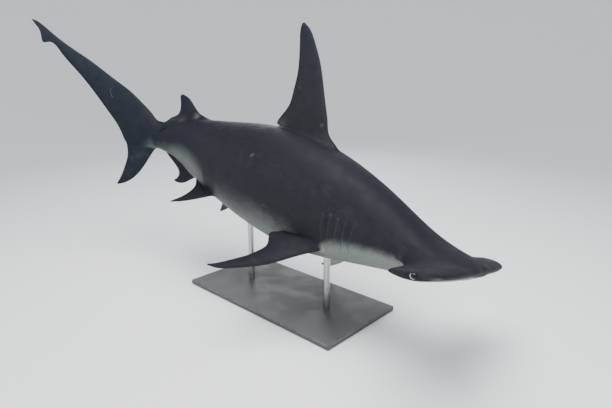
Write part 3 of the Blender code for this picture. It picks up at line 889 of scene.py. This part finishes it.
def mouth_zone(s, y, normal, corners):
    """1 under the head round the mouth, fading out from a distance within its corners to one beyond them."""
    across = ease(abs(y), MOUTH_HALF + corners[0], MOUTH_HALF - corners[1])
    return ease(normal[:, 2], *UNDERSIDE) * across * ease(s, *MOUTH_END)


def wing_level(s, y, z):
    """Height above the hammer wing's middle plane: z less the plane's slope times s."""
    return z - np.where(y > 0, WING_SLOPE[1], WING_SLOPE[-1]) * s


def on_nostril(place, kind, spots):
    """Sum of spots on the wings' fronts, each a bell outwards from the nostril times a bell in height."""
    s, y, z = place.T
    out = abs(y) - NOSTRIL_AT
    level = wing_level(s, y, z)
    total = sum(most * bell(out, a, wide) * bell(level, b, tall) for most, a, wide, b, tall in spots)
    return total * np.isin(kind, WING_KINDS) * ease(s, *WING_FRONT)


def skin_lift(place, normal, kind):
    """How far each point of the skin moves along its normal: the sum of the folds' profiles."""
    s, y, z = place.T
    phase = gill_phase(s, z)
    lift = gill_fade(s, y, z, phase) * folds((phase - np.round(phase)) * GILL_GAP, GILL_FOLDS)
    lift += mouth_zone(s, y, normal, MOUTH_CORNERS) * folds(mouth_gap(s, y), MOUTH_FOLDS)
    furrow = s - FURROW_AT[0] - FURROW_SLANT * (abs(y) - MOUTH_HALF)
    furrow = bell(furrow, 0, FURROW_HALF[0]) * bell(abs(y), FURROW_AT[1], FURROW_HALF[1])
    lift -= FURROW_DEPTH * furrow * ease(normal[:, 2], *UNDERSIDE)
    lift += on_nostril(place, kind, NOSTRIL_FOLDS)
    groove = folds(wing_level(s, y, z), [GROOVE]) * between(abs(y), GROOVE_FADES)
    lift -= groove * np.isin(kind, WING_KINDS) * ease(s, *WING_FRONT)
    lift -= folds(s, [PIT]) * ease(z, *PIT_HIGH)
    line = bell(z, SIDE_LINE_HIGH * ease(s, *SIDE_LINE_RISE), SIDE_LINE[1])
    return lift - SIDE_LINE[0] * line * between(s, SIDE_LINE_FADES)


points, faces, notes = skin_mesh()
points = fitted_edge(evened(points, faces))
skin = add_piece("shark_skin", points, faces)
normal = np.empty(points.size)
skin.data.vertex_normals.foreach_get("vector", normal)
normal = normal.reshape(-1, 3)
points += normal * skin_lift(points, normal, notes["kind"])[:, None]
points[:, 0] += NOTCH_DEPTH * bell(points[:, 1], 0, NOTCH_HALF) * ease(points[:, 0], NOTCH_BACK, 0.0)
skin.data.vertices.foreach_set("co", posed(points).ravel())
skin.data.update()


# Skin: colour and texture
# Charcoal grey above, fading into greenish white below; tiny tooth-like scales make it fine and matt, and old
# scratches and rubbed places show pale.
# Painted shade: the last column holds the pale back along the trunk and the stalk, where the lower flank lies
# in shadow; the dark back fading into a pale belly is the shark's own.
SHADE_EDGE = np.array([
    # s, height where the dark begins to fade, height where the skin is fully pale, how pale that is
    (0.00, -0.008, -0.016, 1.0), (0.02, -0.016, -0.026, 1.0), (0.10, -0.020, -0.044, 1.0),
    (0.20, -0.012, -0.052, 1.0), (0.34, -0.001, -0.052, 1.0), (0.475, -0.011, -0.078, 1.0),
    (0.615, -0.036, -0.120, 1.0), (0.70, -0.064, -0.150, 1.0), (0.745, -0.094, -0.172, 0.95),
    (0.79, -0.155, -0.215, 0.70), (0.85, -0.155, -0.250, 0.60), (0.92, -0.090, -0.245, 0.78),
    (1.015, -0.076, -0.245, 0.78), (1.22, -0.076, -0.275, 0.76), (1.35, -0.070, -0.280, 0.76),
    (1.525, -0.052, -0.270, 0.75), (1.65, -0.080, -0.240, 0.68), (1.715, -0.085, -0.240, 0.28),
    (1.76, -0.080, -0.220, 0.10), (1.81, -0.040, -0.180, 0.16), (1.86, 0.010, -0.140, 0.52),
    (1.95, 0.022, -0.115, 0.60), (2.065, 0.020, -0.095, 0.60), (2.27, 0.012, -0.080, 0.58),
    (2.43, 0.020, -0.085, 0.50), (2.565, 0.030, -0.070, 0.34), (2.64, -0.040, -0.140, 0.2),
    (2.70, -0.300, -0.400, 0.0), (3.60, -0.600, -0.700, 0.0),
])
BELLY_PALE = 0.95
BELLY_TURN = (-0.50, -0.70)
BELLY_TURN_AT = (0.25, 0.45)
BELLY_SOFT = 0.27
BELLY_END = (2.62, 2.40)
HEAD_TURN = (-0.50, -0.82)
HEAD_LEVEL = (-0.003, -0.012)
HEAD_END = (0.24, 0.10)
WING_ROOT = (0.14, 0.20)
WING_TIP = (0.437, 0.405)
FIN_SIDE = (-0.10, -0.42)
FIN_FADE = (0.0, 0.45)
ROOT_FADE = (0.2, 0.9)
MARKS = (
    # s, y, z, radius, strength of a rubbed or scarred place, or of a painted highlight
    (1.448, -0.004, 0.325, 0.016, 0.80), (1.120, -0.012, 0.401, 0.006, 0.55),
    (1.400, -0.022, 0.326, 0.030, 0.38), (2.205, -0.010, 0.195, 0.020, 0.40),
    (1.365, -0.220, 0.133, 0.007, 0.34), (2.300, -0.030, 0.140, 0.030, 0.10),
    (0.960, -0.216, -0.060, 0.009, 0.45), (0.880, -0.180, -0.060, 0.008, 0.30),
    (1.520, 0.190, 0.090, 0.010, 0.45), (0.700, 0.140, 0.160, 0.008, 0.40),
    # The next six, at the tops of the gill slits on both sides, are painted highlights where the slits' upper
    # ends catch the light.
    (0.784, -0.213, 0.008, 0.006, 0.42), (0.740, -0.208, 0.027, 0.006, 0.42),
    (0.692, -0.203, 0.028, 0.007, 0.22), (0.647, -0.196, 0.024, 0.006, 0.15),
    (0.784, 0.213, 0.008, 0.006, 0.35), (0.740, 0.208, 0.027, 0.006, 0.35),
)
# Painted highlight: the nostrils' rims painted pale.
NOSTRIL_HIGHLIGHT = ((0.85, 0.0, 0.0170, -0.0040, 0.0042),)
# Painted shade in the nostrils.
NOSTRIL_HOLE = ((0.90, 0.006, 0.0060, -0.0040, 0.0022),)
# Painted shade inside the lids round each eye.
LID_DARK = 0.9
LID_EDGE = (0.0205, 0.0180)
LID_FROM = 0.40
# Painted shade: skin that faces up is darkened, against the overhead light on the back and on the tops of
# fins and wings.
TOP_SHADE_TURN = (-0.05, 0.85)
DARK_WARM = (0.0165, 0.0160, 0.0200, 1.0)
DARK_COOL = (0.0095, 0.0140, 0.0215, 1.0)
DARK_SOFT = (0.0230, 0.0230, 0.0275, 1.0)
# Painted shade: the darker colour of skin that faces up.
DARK_TOP_SHADE = (0.0062, 0.0072, 0.0105, 1.0)
PALE = (0.190, 0.214, 0.190, 1.0)
PALE_DUSKY = (0.135, 0.160, 0.156, 1.0)
WHITE = (0.56, 0.60, 0.55, 1.0)
# Pale of rubbed and scratched places, also used for painted highlights on the gill flaps and at the gill
# slits' tops.
RUBBED_AND_HIGHLIGHT = (0.24, 0.22, 0.22, 1.0)
# Painted shade: near black in the gill slits, the mouth's line, the nostrils and inside the lids, where shade
# falls in these openings.
OPENING_SHADE = (0.010, 0.010, 0.012, 1.0)
FLESH = (0.30, 0.25, 0.22, 1.0)
SPECKLE = ((0.86, 0.86, 0.86, 1.0), (1.12, 1.12, 1.12, 1.0))
BACK_COOL = (1.3, 2.9, 0.0, 0.75)
COOL_BROAD = 0.40
# Painted shade: how strongly upward faces darken, and how much broad blotches vary it.
TOP_SHADE_SHARE = (0.15, 0.95, 0.0, 0.85)
TOP_SHADE_BROAD = 0.3
SOFT_PATCH = 0.45
DUSKY_BROAD = 0.6
FIN_WHITE = 0.9
TONE_RANGE = (0.06, 1.02)
TONE_MOTTLES = (
    # how far broad blotches, patches and flecks shift the tone
    0.22, 0.09, 0.05,
)
TIP_EDGE = (0.80, 1.02)
TIP_PATCH = 0.10
FRINGE_EDGE = (0.93, 1.03)
FRINGE_PATCH = 0.05
RUB_AND_HIGHLIGHT_SHARE = (0.0, 1.0, 0.5, 1.0)
SLIT_EDGE = (0.075, 0.020)
# Painted highlight: the pale streak on each gill flap just before its slit.
FLAP_HIGHLIGHT_EDGE = (0.50, 0.95)
LIP_EDGE = (0.0034, 0.0008)
LIP_FLESH = (0.016, 0.004)
LIP_CORNERS = (0.008, 0.004)
LIP_LEAST = 0.02
NO_MOUTH = 1.0
MOTTLES = (
    # broad, patch, fleck and grain: scale of each axis, blotches in a metre
    ((0.6, 1.0, 1.0), 3.2), ((1.0, 1.0, 1.0), 17.0), ((0.5, 1.0, 1.0), 150.0), ((0.45, 1.0, 1.0), 620.0),
)
MOTTLE_DETAIL = 4.0
MOTTLE_ROUGHNESS = 0.62
MOTTLE_RANGE = (0.30, 0.70)
SCRATCH_STRETCH = (0.8, 1.0, 2.4)
SCRATCH_SCALE = 2.6
SCRATCH_LEVEL = 0.52
SCRATCH_EDGE = (0.0022, 0.0004)
SCRATCH_PATCHES = 5.7
SCRATCH_RARE = (0.76, 0.86)
SCRATCH_FROM = (0.70, 0.85)
RAY_STRETCH = (42.0, 1.3, 5.0)
GRAIN_RELIEF = 0.25
RELIEF = (
    # height of flecks, patches and fin rays, then of slits, lips and scratches, which are cut in
    0.22, 0.40, 0.45, -2.2, -2.5, -0.35,
)
SKIN_ROUGH = (0.0, 1.0, 0.46, 0.58)
FLECK_ROUGH = 0.08
SKIN_SHINE = 0.10
SKIN_BUMP = (0.55, 0.0011)
FIN_TONE = {
    # how pale the upper and the lower face of a fin are, at its base, where they aren't dark
    "anal_fin": (0.55, 0.55), "pectoral_left": (0.0, 1.0), "pectoral_right": (0.0, 1.0),
    # Painted shade: the left pelvic fin's lower face is less pale than the right one's, as it hangs in the
    # belly's shadow.
    "pelvic_left": (0.0, 0.12), "pelvic_right": (0.0, 0.45),
}


def skin_tone(place, facing_up, notes):
    """How pale each point is, 0 to 1: by height on the body, by the way it faces on belly, fins and wings."""
    s, y, z = place.T
    dark, pale, most = [np.interp(s, SHADE_EDGE[:, 0], SHADE_EDGE[:, k]) for k in (1, 2, 3)]
    tone = np.clip((dark - z) / (dark - pale), 0, 1) * most
    turn = np.interp(s, BELLY_TURN_AT, BELLY_TURN)
    tone = np.maximum(tone, BELLY_PALE * ease(facing_up, turn, turn - BELLY_SOFT) * ease(s, *BELLY_END))
    head = ease(facing_up, *HEAD_TURN) * ease(wing_level(s, y, z), *HEAD_LEVEL)
    tone += (head - tone) * ease(s, *HEAD_END)
    for kind, fin in enumerate(FINS):
        mine = notes["kind"] == kind
        side = notes["side"][mine] * (-1 if fin[0].endswith("right") else 1)
        if kind in WING_KINDS:
            own = head[mine] * ease(abs(y[mine]), *WING_TIP)
            grown = ease(abs(y[mine]), *WING_ROOT)
        else:
            above, below = FIN_TONE.get(fin[0], (0.0, 0.0))
            own = above + (below - above) * ease(side, *FIN_SIDE)
            own = own * (1 - ease(notes["reach"][mine], *FIN_FADE) * (above == below))
            grown = 1 - ease(notes["root"][mine], *ROOT_FADE)
        tone[mine] += (own - tone[mine]) * grown
    return tone


def rubbed_and_highlight_places(place):
    """Strength of the rubbed places and of the painted highlights at the gill slits' tops: the greatest of a
    bell round each.
    """
    strength = np.zeros(len(place))
    for *spot, radius, most in MARKS:
        strength = np.maximum(strength, most * bell(np.linalg.norm(place - spot, axis=1), 0, radius))
    return strength


def add_attribute(piece, name, values):
    """Stores one number or one vector for each point of a piece."""
    kind, field = ("FLOAT_VECTOR", "vector") if values.ndim == 2 else ("FLOAT", "value")
    made = piece.data.attributes.new(name, kind, "POINT")
    made.data.foreach_set(field, np.ascontiguousarray(values, float).ravel())


def add_node(tree, kind, sockets=None, **settings):
    """New shader node; each socket is given a plain value or another node's output."""
    made = tree.nodes.new(kind)
    for name, value in settings.items():
        setattr(made, name, value)
    for name, value in (sockets or {}).items():
        value = getattr(value, "output", value)
        if isinstance(value, bpy.types.NodeSocket):
            tree.links.new(value, made.inputs[name])
        else:
            made.inputs[name].default_value = value
    return made


class Field:
    """A number that changes over a surface: a node's output, whose arithmetic adds Math nodes."""

    def __init__(self, tree, output):
        self.tree = tree
        self.output = output

    def math(self, operation, other=0.0):
        """Field of a Math node."""
        node = add_node(self.tree, "ShaderNodeMath", {0: self, 1: other}, operation=operation)
        return Field(self.tree, node.outputs[0])

    def __add__(self, other):
        return self.math("ADD", other)

    def __sub__(self, other):
        return self.math("SUBTRACT", other)

    def __mul__(self, other):
        return self.math("MULTIPLY", other)

    def __abs__(self):
        return self.math("ABSOLUTE")

    def eased(self, low, high, to_low=0.0, to_high=1.0):
        """The field eased from low..high to another range."""
        sockets = {"Value": self, "From Min": low, "From Max": high, "To Min": to_low, "To Max": to_high}
        node = add_node(self.tree, "ShaderNodeMapRange", sockets, interpolation_type="SMOOTHSTEP")
        return Field(self.tree, node.outputs[0])


def mix(tree, factor, first, second, way="MIX"):
    """Output of a Mix node: the second colour over the first by the factor."""
    sockets = {0: factor, 6: first, 7: second}
    return add_node(tree, "ShaderNodeMix", sockets, data_type="RGBA", blend_type=way).outputs[2]


def mottle_group():
    """Node group: soft blotches from 0 to 1 at a place, with a given number of them in a metre."""
    group = bpy.data.node_groups.new("mottle", "ShaderNodeTree")
    group.interface.new_socket("Place", in_out="INPUT", socket_type="NodeSocketVector")
    group.interface.new_socket("Scale", in_out="INPUT", socket_type="NodeSocketFloat")
    group.interface.new_socket("Value", in_out="OUTPUT", socket_type="NodeSocketFloat")
    entry = group.nodes.new("NodeGroupInput")
    noise = add_node(group, "ShaderNodeTexNoise", {
        "Vector": entry.outputs["Place"], "Scale": entry.outputs["Scale"],
        "Detail": MOTTLE_DETAIL, "Roughness": MOTTLE_ROUGHNESS,
    })
    spread = Field(group, noise.outputs["Fac"]).eased(*MOTTLE_RANGE)
    add_node(group, "NodeGroupOutput", {"Value": spread})
    return group


MOTTLE = mottle_group()


def mottle(tree, place, scale):
    """Field of the mottle group placed in a material."""
    node = add_node(tree, "ShaderNodeGroup", node_tree=MOTTLE)
    tree.links.new(place, node.inputs["Place"])
    node.inputs["Scale"].default_value = scale
    return Field(tree, node.outputs["Value"])


def stretch(tree, place, scale):
    """Place with each axis scaled."""
    return add_node(tree, "ShaderNodeVectorMath", {0: place, 1: scale}, operation="MULTIPLY").outputs[0]


def vector_of(tree, name):
    """Vector read from the piece's own attribute."""
    return add_node(tree, "ShaderNodeAttribute", attribute_name=name).outputs["Vector"]


def field_of(tree, name):
    """Field read from the piece's own attribute."""
    return Field(tree, add_node(tree, "ShaderNodeAttribute", attribute_name=name).outputs["Fac"])


def parts_of(tree, vector):
    """Fields of a vector's three parts."""
    return [Field(tree, part) for part in add_node(tree, "ShaderNodeSeparateXYZ", {0: vector}).outputs]


def finish_paint(tree, shader, colour, rough, height, bump):
    """Gives the shader its colour, its roughness and, by strength and depth of bump, the height's relief."""
    strength, depth = bump
    relief = add_node(tree, "ShaderNodeBump", {"Height": height, "Strength": strength, "Distance": depth})
    tree.links.new(colour, shader.inputs["Base Color"])
    tree.links.new(rough.output, shader.inputs["Roughness"])
    tree.links.new(relief.outputs[0], shader.inputs["Normal"])


def skin_material():
    """Dark back over pale belly, then fin fringes, rubs, scratches, slits and flesh, over fine bumps."""
    paint, tree, shader = new_paint("shark_skin")
    place = vector_of(tree, "straight")
    back = parts_of(tree, place)[0]
    chord, reach, on_fin = parts_of(tree, vector_of(tree, "fin"))
    broad, patch, fleck, grain = [mottle(tree, stretch(tree, place, axes), scale) for axes, scale in MOTTLES]

    cool = back.eased(*BACK_COOL) + broad * COOL_BROAD
    # Painted shade: skin that faces up is mixed towards a darker colour, against the overhead light.
    top_shade = field_of(tree, "top_shade") + (broad - 0.5) * TOP_SHADE_BROAD
    dark = mix(tree, cool, DARK_WARM, DARK_COOL)
    dark = mix(tree, patch * SOFT_PATCH, dark, DARK_SOFT)
    dark = mix(tree, top_shade.eased(*TOP_SHADE_SHARE), dark, DARK_TOP_SHADE)
    light = mix(tree, broad * DUSKY_BROAD, PALE, PALE_DUSKY)
    light = mix(tree, on_fin * FIN_WHITE, light, WHITE)
    tone = field_of(tree, "tone")
    for field, share in zip((broad, patch, fleck), TONE_MOTTLES):
        tone = tone + (field - 0.5) * share
    colour = mix(tree, tone.eased(*TONE_RANGE), dark, light)

    tip = (reach + patch * TIP_PATCH).eased(*TIP_EDGE)
    fringe = (chord + patch * FRINGE_PATCH).eased(*FRINGE_EDGE)
    drift = Field(tree, add_node(tree, "ShaderNodeTexNoise", {
        "Vector": stretch(tree, place, SCRATCH_STRETCH), "Scale": SCRATCH_SCALE, "Detail": 0.0,
    }).outputs["Fac"])
    rare = mottle(tree, place, SCRATCH_PATCHES).eased(*SCRATCH_RARE) * back.eased(*SCRATCH_FROM)
    scratch = abs(drift - SCRATCH_LEVEL).eased(*SCRATCH_EDGE) * rare
    phase = field_of(tree, "gill")
    gill = field_of(tree, "gill_fade")
    slit = abs(phase - phase.math("ROUND")).eased(*SLIT_EDGE) * gill
    flap_highlight = phase.math("FRACT").eased(*FLAP_HIGHLIGHT_EDGE) * gill
    mouth = abs(field_of(tree, "mouth"))
    lips = mouth.eased(*LIP_EDGE)
    for mask, strength, over in (
        (tip.math("MAXIMUM", fringe) * on_fin, 0.75, DARK_COOL),
        # Rubbed and scarred places, and painted highlights at the gill slits' tops.
        (field_of(tree, "rubbed") * patch.eased(*RUB_AND_HIGHLIGHT_SHARE), 1.0, RUBBED_AND_HIGHLIGHT),
        (scratch, 0.32, RUBBED_AND_HIGHLIGHT),
        # Painted highlight: a faint pale streak on each gill flap, where the raised flap catches the light.
        (flap_highlight, 0.045, RUBBED_AND_HIGHLIGHT),
        # Painted shade: the gill slits, then the mouth's line, the nostrils and the insides of the lids,
        # painted near black.
        (slit, 0.75, OPENING_SHADE),
        (mouth.eased(*LIP_FLESH), 0.35, FLESH),
        (lips, 0.90, OPENING_SHADE),
        # Painted highlight on the nostrils' rims.
        (field_of(tree, "nostril"), 1.0, PALE),
        (field_of(tree, "nostril_hole"), 1.0, OPENING_SHADE),
        (field_of(tree, "lid"), 1.0, OPENING_SHADE),
    ):
        colour = mix(tree, mask * strength, colour, over)
    colour = mix(tree, 1.0, colour, mix(tree, fleck, *SPECKLE), "MULTIPLY")

    rays = mottle(tree, stretch(tree, vector_of(tree, "fin"), RAY_STRETCH), 1.0) * on_fin
    height = grain * GRAIN_RELIEF
    for field, share in zip((fleck, patch, rays, slit, lips, scratch), RELIEF):
        height = height + field * share
    rough = patch.eased(*SKIN_ROUGH) + fleck * FLECK_ROUGH
    finish_paint(tree, shader, colour, rough, height, SKIN_BUMP)
    shader.inputs["Specular IOR Level"].default_value = SKIN_SHINE
    return paint


s, y, z = points.T
phase = gill_phase(s, z)
on_fin = (notes["kind"] >= 0) * ~np.isin(notes["kind"], WING_KINDS) * (1 - notes["root"])
from_eye = np.linalg.norm(np.column_stack([s - EYE_AT[0], abs(y) - EYE_AT[1], wing_level(s, y, z)]), axis=1)
for name, values in {
    "straight": points,
    "tone": skin_tone(points, normal[:, 2], notes),
    "fin": np.column_stack([notes["chord"], notes["reach"], on_fin]),
    # painted shade: how far the skin faces up
    "top_shade": ease(normal[:, 2], *TOP_SHADE_TURN),
    # rubbed places, and painted highlights at the gill slits' tops
    "rubbed": rubbed_and_highlight_places(points),
    "gill": phase,
    "gill_fade": gill_fade(s, y, z, phase),
    "mouth": np.where(mouth_zone(s, y, normal, LIP_CORNERS) > LIP_LEAST, mouth_gap(s, y), NO_MOUTH),
    # painted highlight on the nostrils' rims
    "nostril": on_nostril(points, notes["kind"], NOSTRIL_HIGHLIGHT),
    # painted shade in the nostrils, then inside the lids round the eyes
    "nostril_hole": on_nostril(points, notes["kind"], NOSTRIL_HOLE),
    "lid": LID_DARK * ease(from_eye, *LID_EDGE) * (abs(y) > LID_FROM),
}.items():
    add_attribute(skin, name, values)
skin.data.materials.append(skin_material())
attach(skin, "root")
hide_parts(*[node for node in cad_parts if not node.startswith(("eye", "stand"))])


# Eyes
# Large dark eyes, one in each tip of the hammer: a glossy ball with a wide pupil, a silvery iris that shows
# as a crescent at its rear and foot, and a dark rim under the lids.
EYE_ROWS = 40
EYE_COLUMNS = 64
GAZE_FORWARD = 34.0
GAZE_UP = 18.0
CORNEA = 0.035
CORNEA_HALF = 0.45
PUPIL_EDGE = (0.60, 0.70)
SILVER_EDGE = (0.88, 1.04)
SILVER_SIDE = (-0.20, 0.12)
RIM_EDGE = (1.26, 1.40)
PUPIL = (0.004, 0.004, 0.005, 1.0)
IRIS = (0.40, 0.42, 0.41, 1.0)
IRIS_DEEP = (0.022, 0.021, 0.020, 1.0)
EYE_RIM = (0.012, 0.012, 0.014, 1.0)
IRIS_RAYS = 9.0
RAY_SWAY = 0.05
RAY_DARK = 0.35
SILVER_AHEAD = 0.8
SILVER_UP = 0.6
EYE_ROUGH = (0.0, 1.0, 0.16, 0.26)
EYE_BUMP = (0.15, 0.0003)
EYE_SOCKETS = {"Specular IOR Level": 0.12, "Coat Weight": 0.40, "Coat IOR": 1.38, "Coat Roughness": 0.04}


def eyeball(hand):
    """Ball round the gaze axis, its radius a little larger near the axis, where the cornea stands out."""
    centre = eye_axes(hand)[0]
    turn, lift = np.radians([GAZE_FORWARD, GAZE_UP])
    gaze = np.array([-np.sin(turn) * np.cos(lift), hand * np.cos(turn) * np.cos(lift), np.sin(lift)])
    across = np.cross(gaze, (0.0, 0.0, 1.0))
    across /= np.linalg.norm(across)
    over = np.cross(across, gaze)
    polar = np.linspace(0, np.pi, EYE_ROWS + 1)[1:-1, None, None]
    turn = np.linspace(0, 2 * np.pi, EYE_COLUMNS, endpoint=False)[:, None]
    way = np.cos(polar) * gaze + np.sin(polar) * (np.cos(turn) * across + np.sin(turn) * over)
    way = np.concatenate([way.reshape(-1, 3), [gaze, -gaze]])
    polar = np.concatenate([np.repeat(polar.ravel(), EYE_COLUMNS), [0, np.pi]])
    points = centre + way * (EYE_RADIUS * (1 + CORNEA * bell(polar, 0, CORNEA_HALF)))[:, None]
    rows = EYE_ROWS - 1
    front = fan_faces(rows * EYE_COLUMNS, 0, EYE_COLUMNS)
    rear = fan_faces(rows * EYE_COLUMNS + 1, (rows - 1) * EYE_COLUMNS, EYE_COLUMNS)
    return points, [*grid_faces(rows, EYE_COLUMNS), *front, *rear], polar, way


def eye_material():
    """Rings by the angle from the gaze: black pupil, silvery iris with fine rays, dark rim; a clear coat."""
    paint, tree, shader = new_paint("eye")
    way = vector_of(tree, "way")
    ahead, _, up = parts_of(tree, way)
    rays = mottle(tree, way, IRIS_RAYS)
    angle = field_of(tree, "polar") + (rays - 0.5) * RAY_SWAY
    rear_foot = ahead * SILVER_AHEAD - up * SILVER_UP
    silver = mix(tree, rays * RAY_DARK, IRIS, IRIS_DEEP)
    iris = mix(tree, angle.eased(*SILVER_EDGE) * rear_foot.eased(*SILVER_SIDE), IRIS_DEEP, silver)
    colour = mix(tree, angle.eased(*PUPIL_EDGE), PUPIL, iris)
    colour = mix(tree, angle.eased(*RIM_EDGE), colour, EYE_RIM)
    finish_paint(tree, shader, colour, rays.eased(*EYE_ROUGH), rays, EYE_BUMP)
    for name, value in EYE_SOCKETS.items():
        shader.inputs[name].default_value = value
    return paint


eye_paint = eye_material()
for side, hand in (("left", 1), ("right", -1)):
    ball, ball_faces, polar, way = eyeball(hand)
    eye = add_piece("eyeball_" + side, posed(ball), ball_faces)
    add_attribute(eye, "polar", polar)
    add_attribute(eye, "way", way)
    eye.data.materials.append(eye_paint)
    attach(eye, "root")
    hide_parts("eye_" + side)


# Stand
# A flat steel plate with a dark powder coat, its edges a little rubbed, and two brushed steel rods that hold
# the shark by the belly. The plate and rods are the frame's own.
PLATE_COLOUR = (0.045, 0.047, 0.050, 1.0)
PLATE_DUST = (0.085, 0.087, 0.088, 1.0)
PLATE_WORN = (0.22, 0.22, 0.22, 1.0)
PLATE_HALF = (0.600, 0.300)
PLATE_RUB = 0.007
PLATE_TOP = (0.020, 0.026)
PLATE_MOTTLES = (
    # dust, pimples and wear in a metre
    6.0, 900.0, 30.0,
)
DUST_SHARE = 0.45
WORN_SHARE = 0.6
PLATE_ROUGH = (0.0, 1.0, 0.46, 0.62)
PLATE_BUMP = (0.35, 0.0006)
ROD_COLOUR = (0.52, 0.53, 0.54, 1.0)
ROD_DULL = (0.36, 0.37, 0.38, 1.0)
ROD_BRUSHING = (4.0, 4.0, 420.0)
ROD_SMEARS = 14.0
SMEAR_ROUGH = 0.08
ROD_ROUGH = (0.0, 1.0, 0.24, 0.36)
ROD_BUMP = (0.20, 0.0003)


def plate_material():
    """Powder coat: fine pimples, faint dust, and paler rubbed lines where the object's edges are."""
    paint, tree, shader = new_paint("stand_plate")
    place = add_node(tree, "ShaderNodeTexCoord").outputs["Object"]
    parts = parts_of(tree, place)
    dust, pimple, wear = [mottle(tree, place, scale) for scale in PLATE_MOTTLES]
    edges = [abs(part).eased(half - PLATE_RUB, half) for part, half in zip(parts, PLATE_HALF)]
    worn = edges[0].math("MAXIMUM", edges[1]) * wear * parts[2].eased(*PLATE_TOP)
    colour = mix(tree, dust * DUST_SHARE, PLATE_COLOUR, PLATE_DUST)
    colour = mix(tree, worn * WORN_SHARE, colour, PLATE_WORN)
    finish_paint(tree, shader, colour, dust.eased(*PLATE_ROUGH), pimple, PLATE_BUMP)
    return paint


def rod_material():
    """Brushed steel: fine rings round the rod, streaked in colour and roughness."""
    paint, tree, shader = new_paint("stand_rod")
    place = add_node(tree, "ShaderNodeTexCoord").outputs["Object"]
    rings = mottle(tree, stretch(tree, place, ROD_BRUSHING), 1.0)
    rough = rings.eased(*ROD_ROUGH) + mottle(tree, place, ROD_SMEARS) * SMEAR_ROUGH
    finish_paint(tree, shader, mix(tree, rings, ROD_DULL, ROD_COLOUR), rough, rings, ROD_BUMP)
    shader.inputs["Metallic"].default_value = 1.0
    return paint


def finish_node(name, paint):
    """Gives a frame node its material."""
    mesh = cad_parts[name].data
    mesh.materials.clear()
    mesh.materials.append(paint)


rod_paint = rod_material()
for name, paint in (("base", plate_material()), ("rod_front", rod_paint), ("rod_rear", rod_paint)):
    finish_node("stand_" + name, paint)
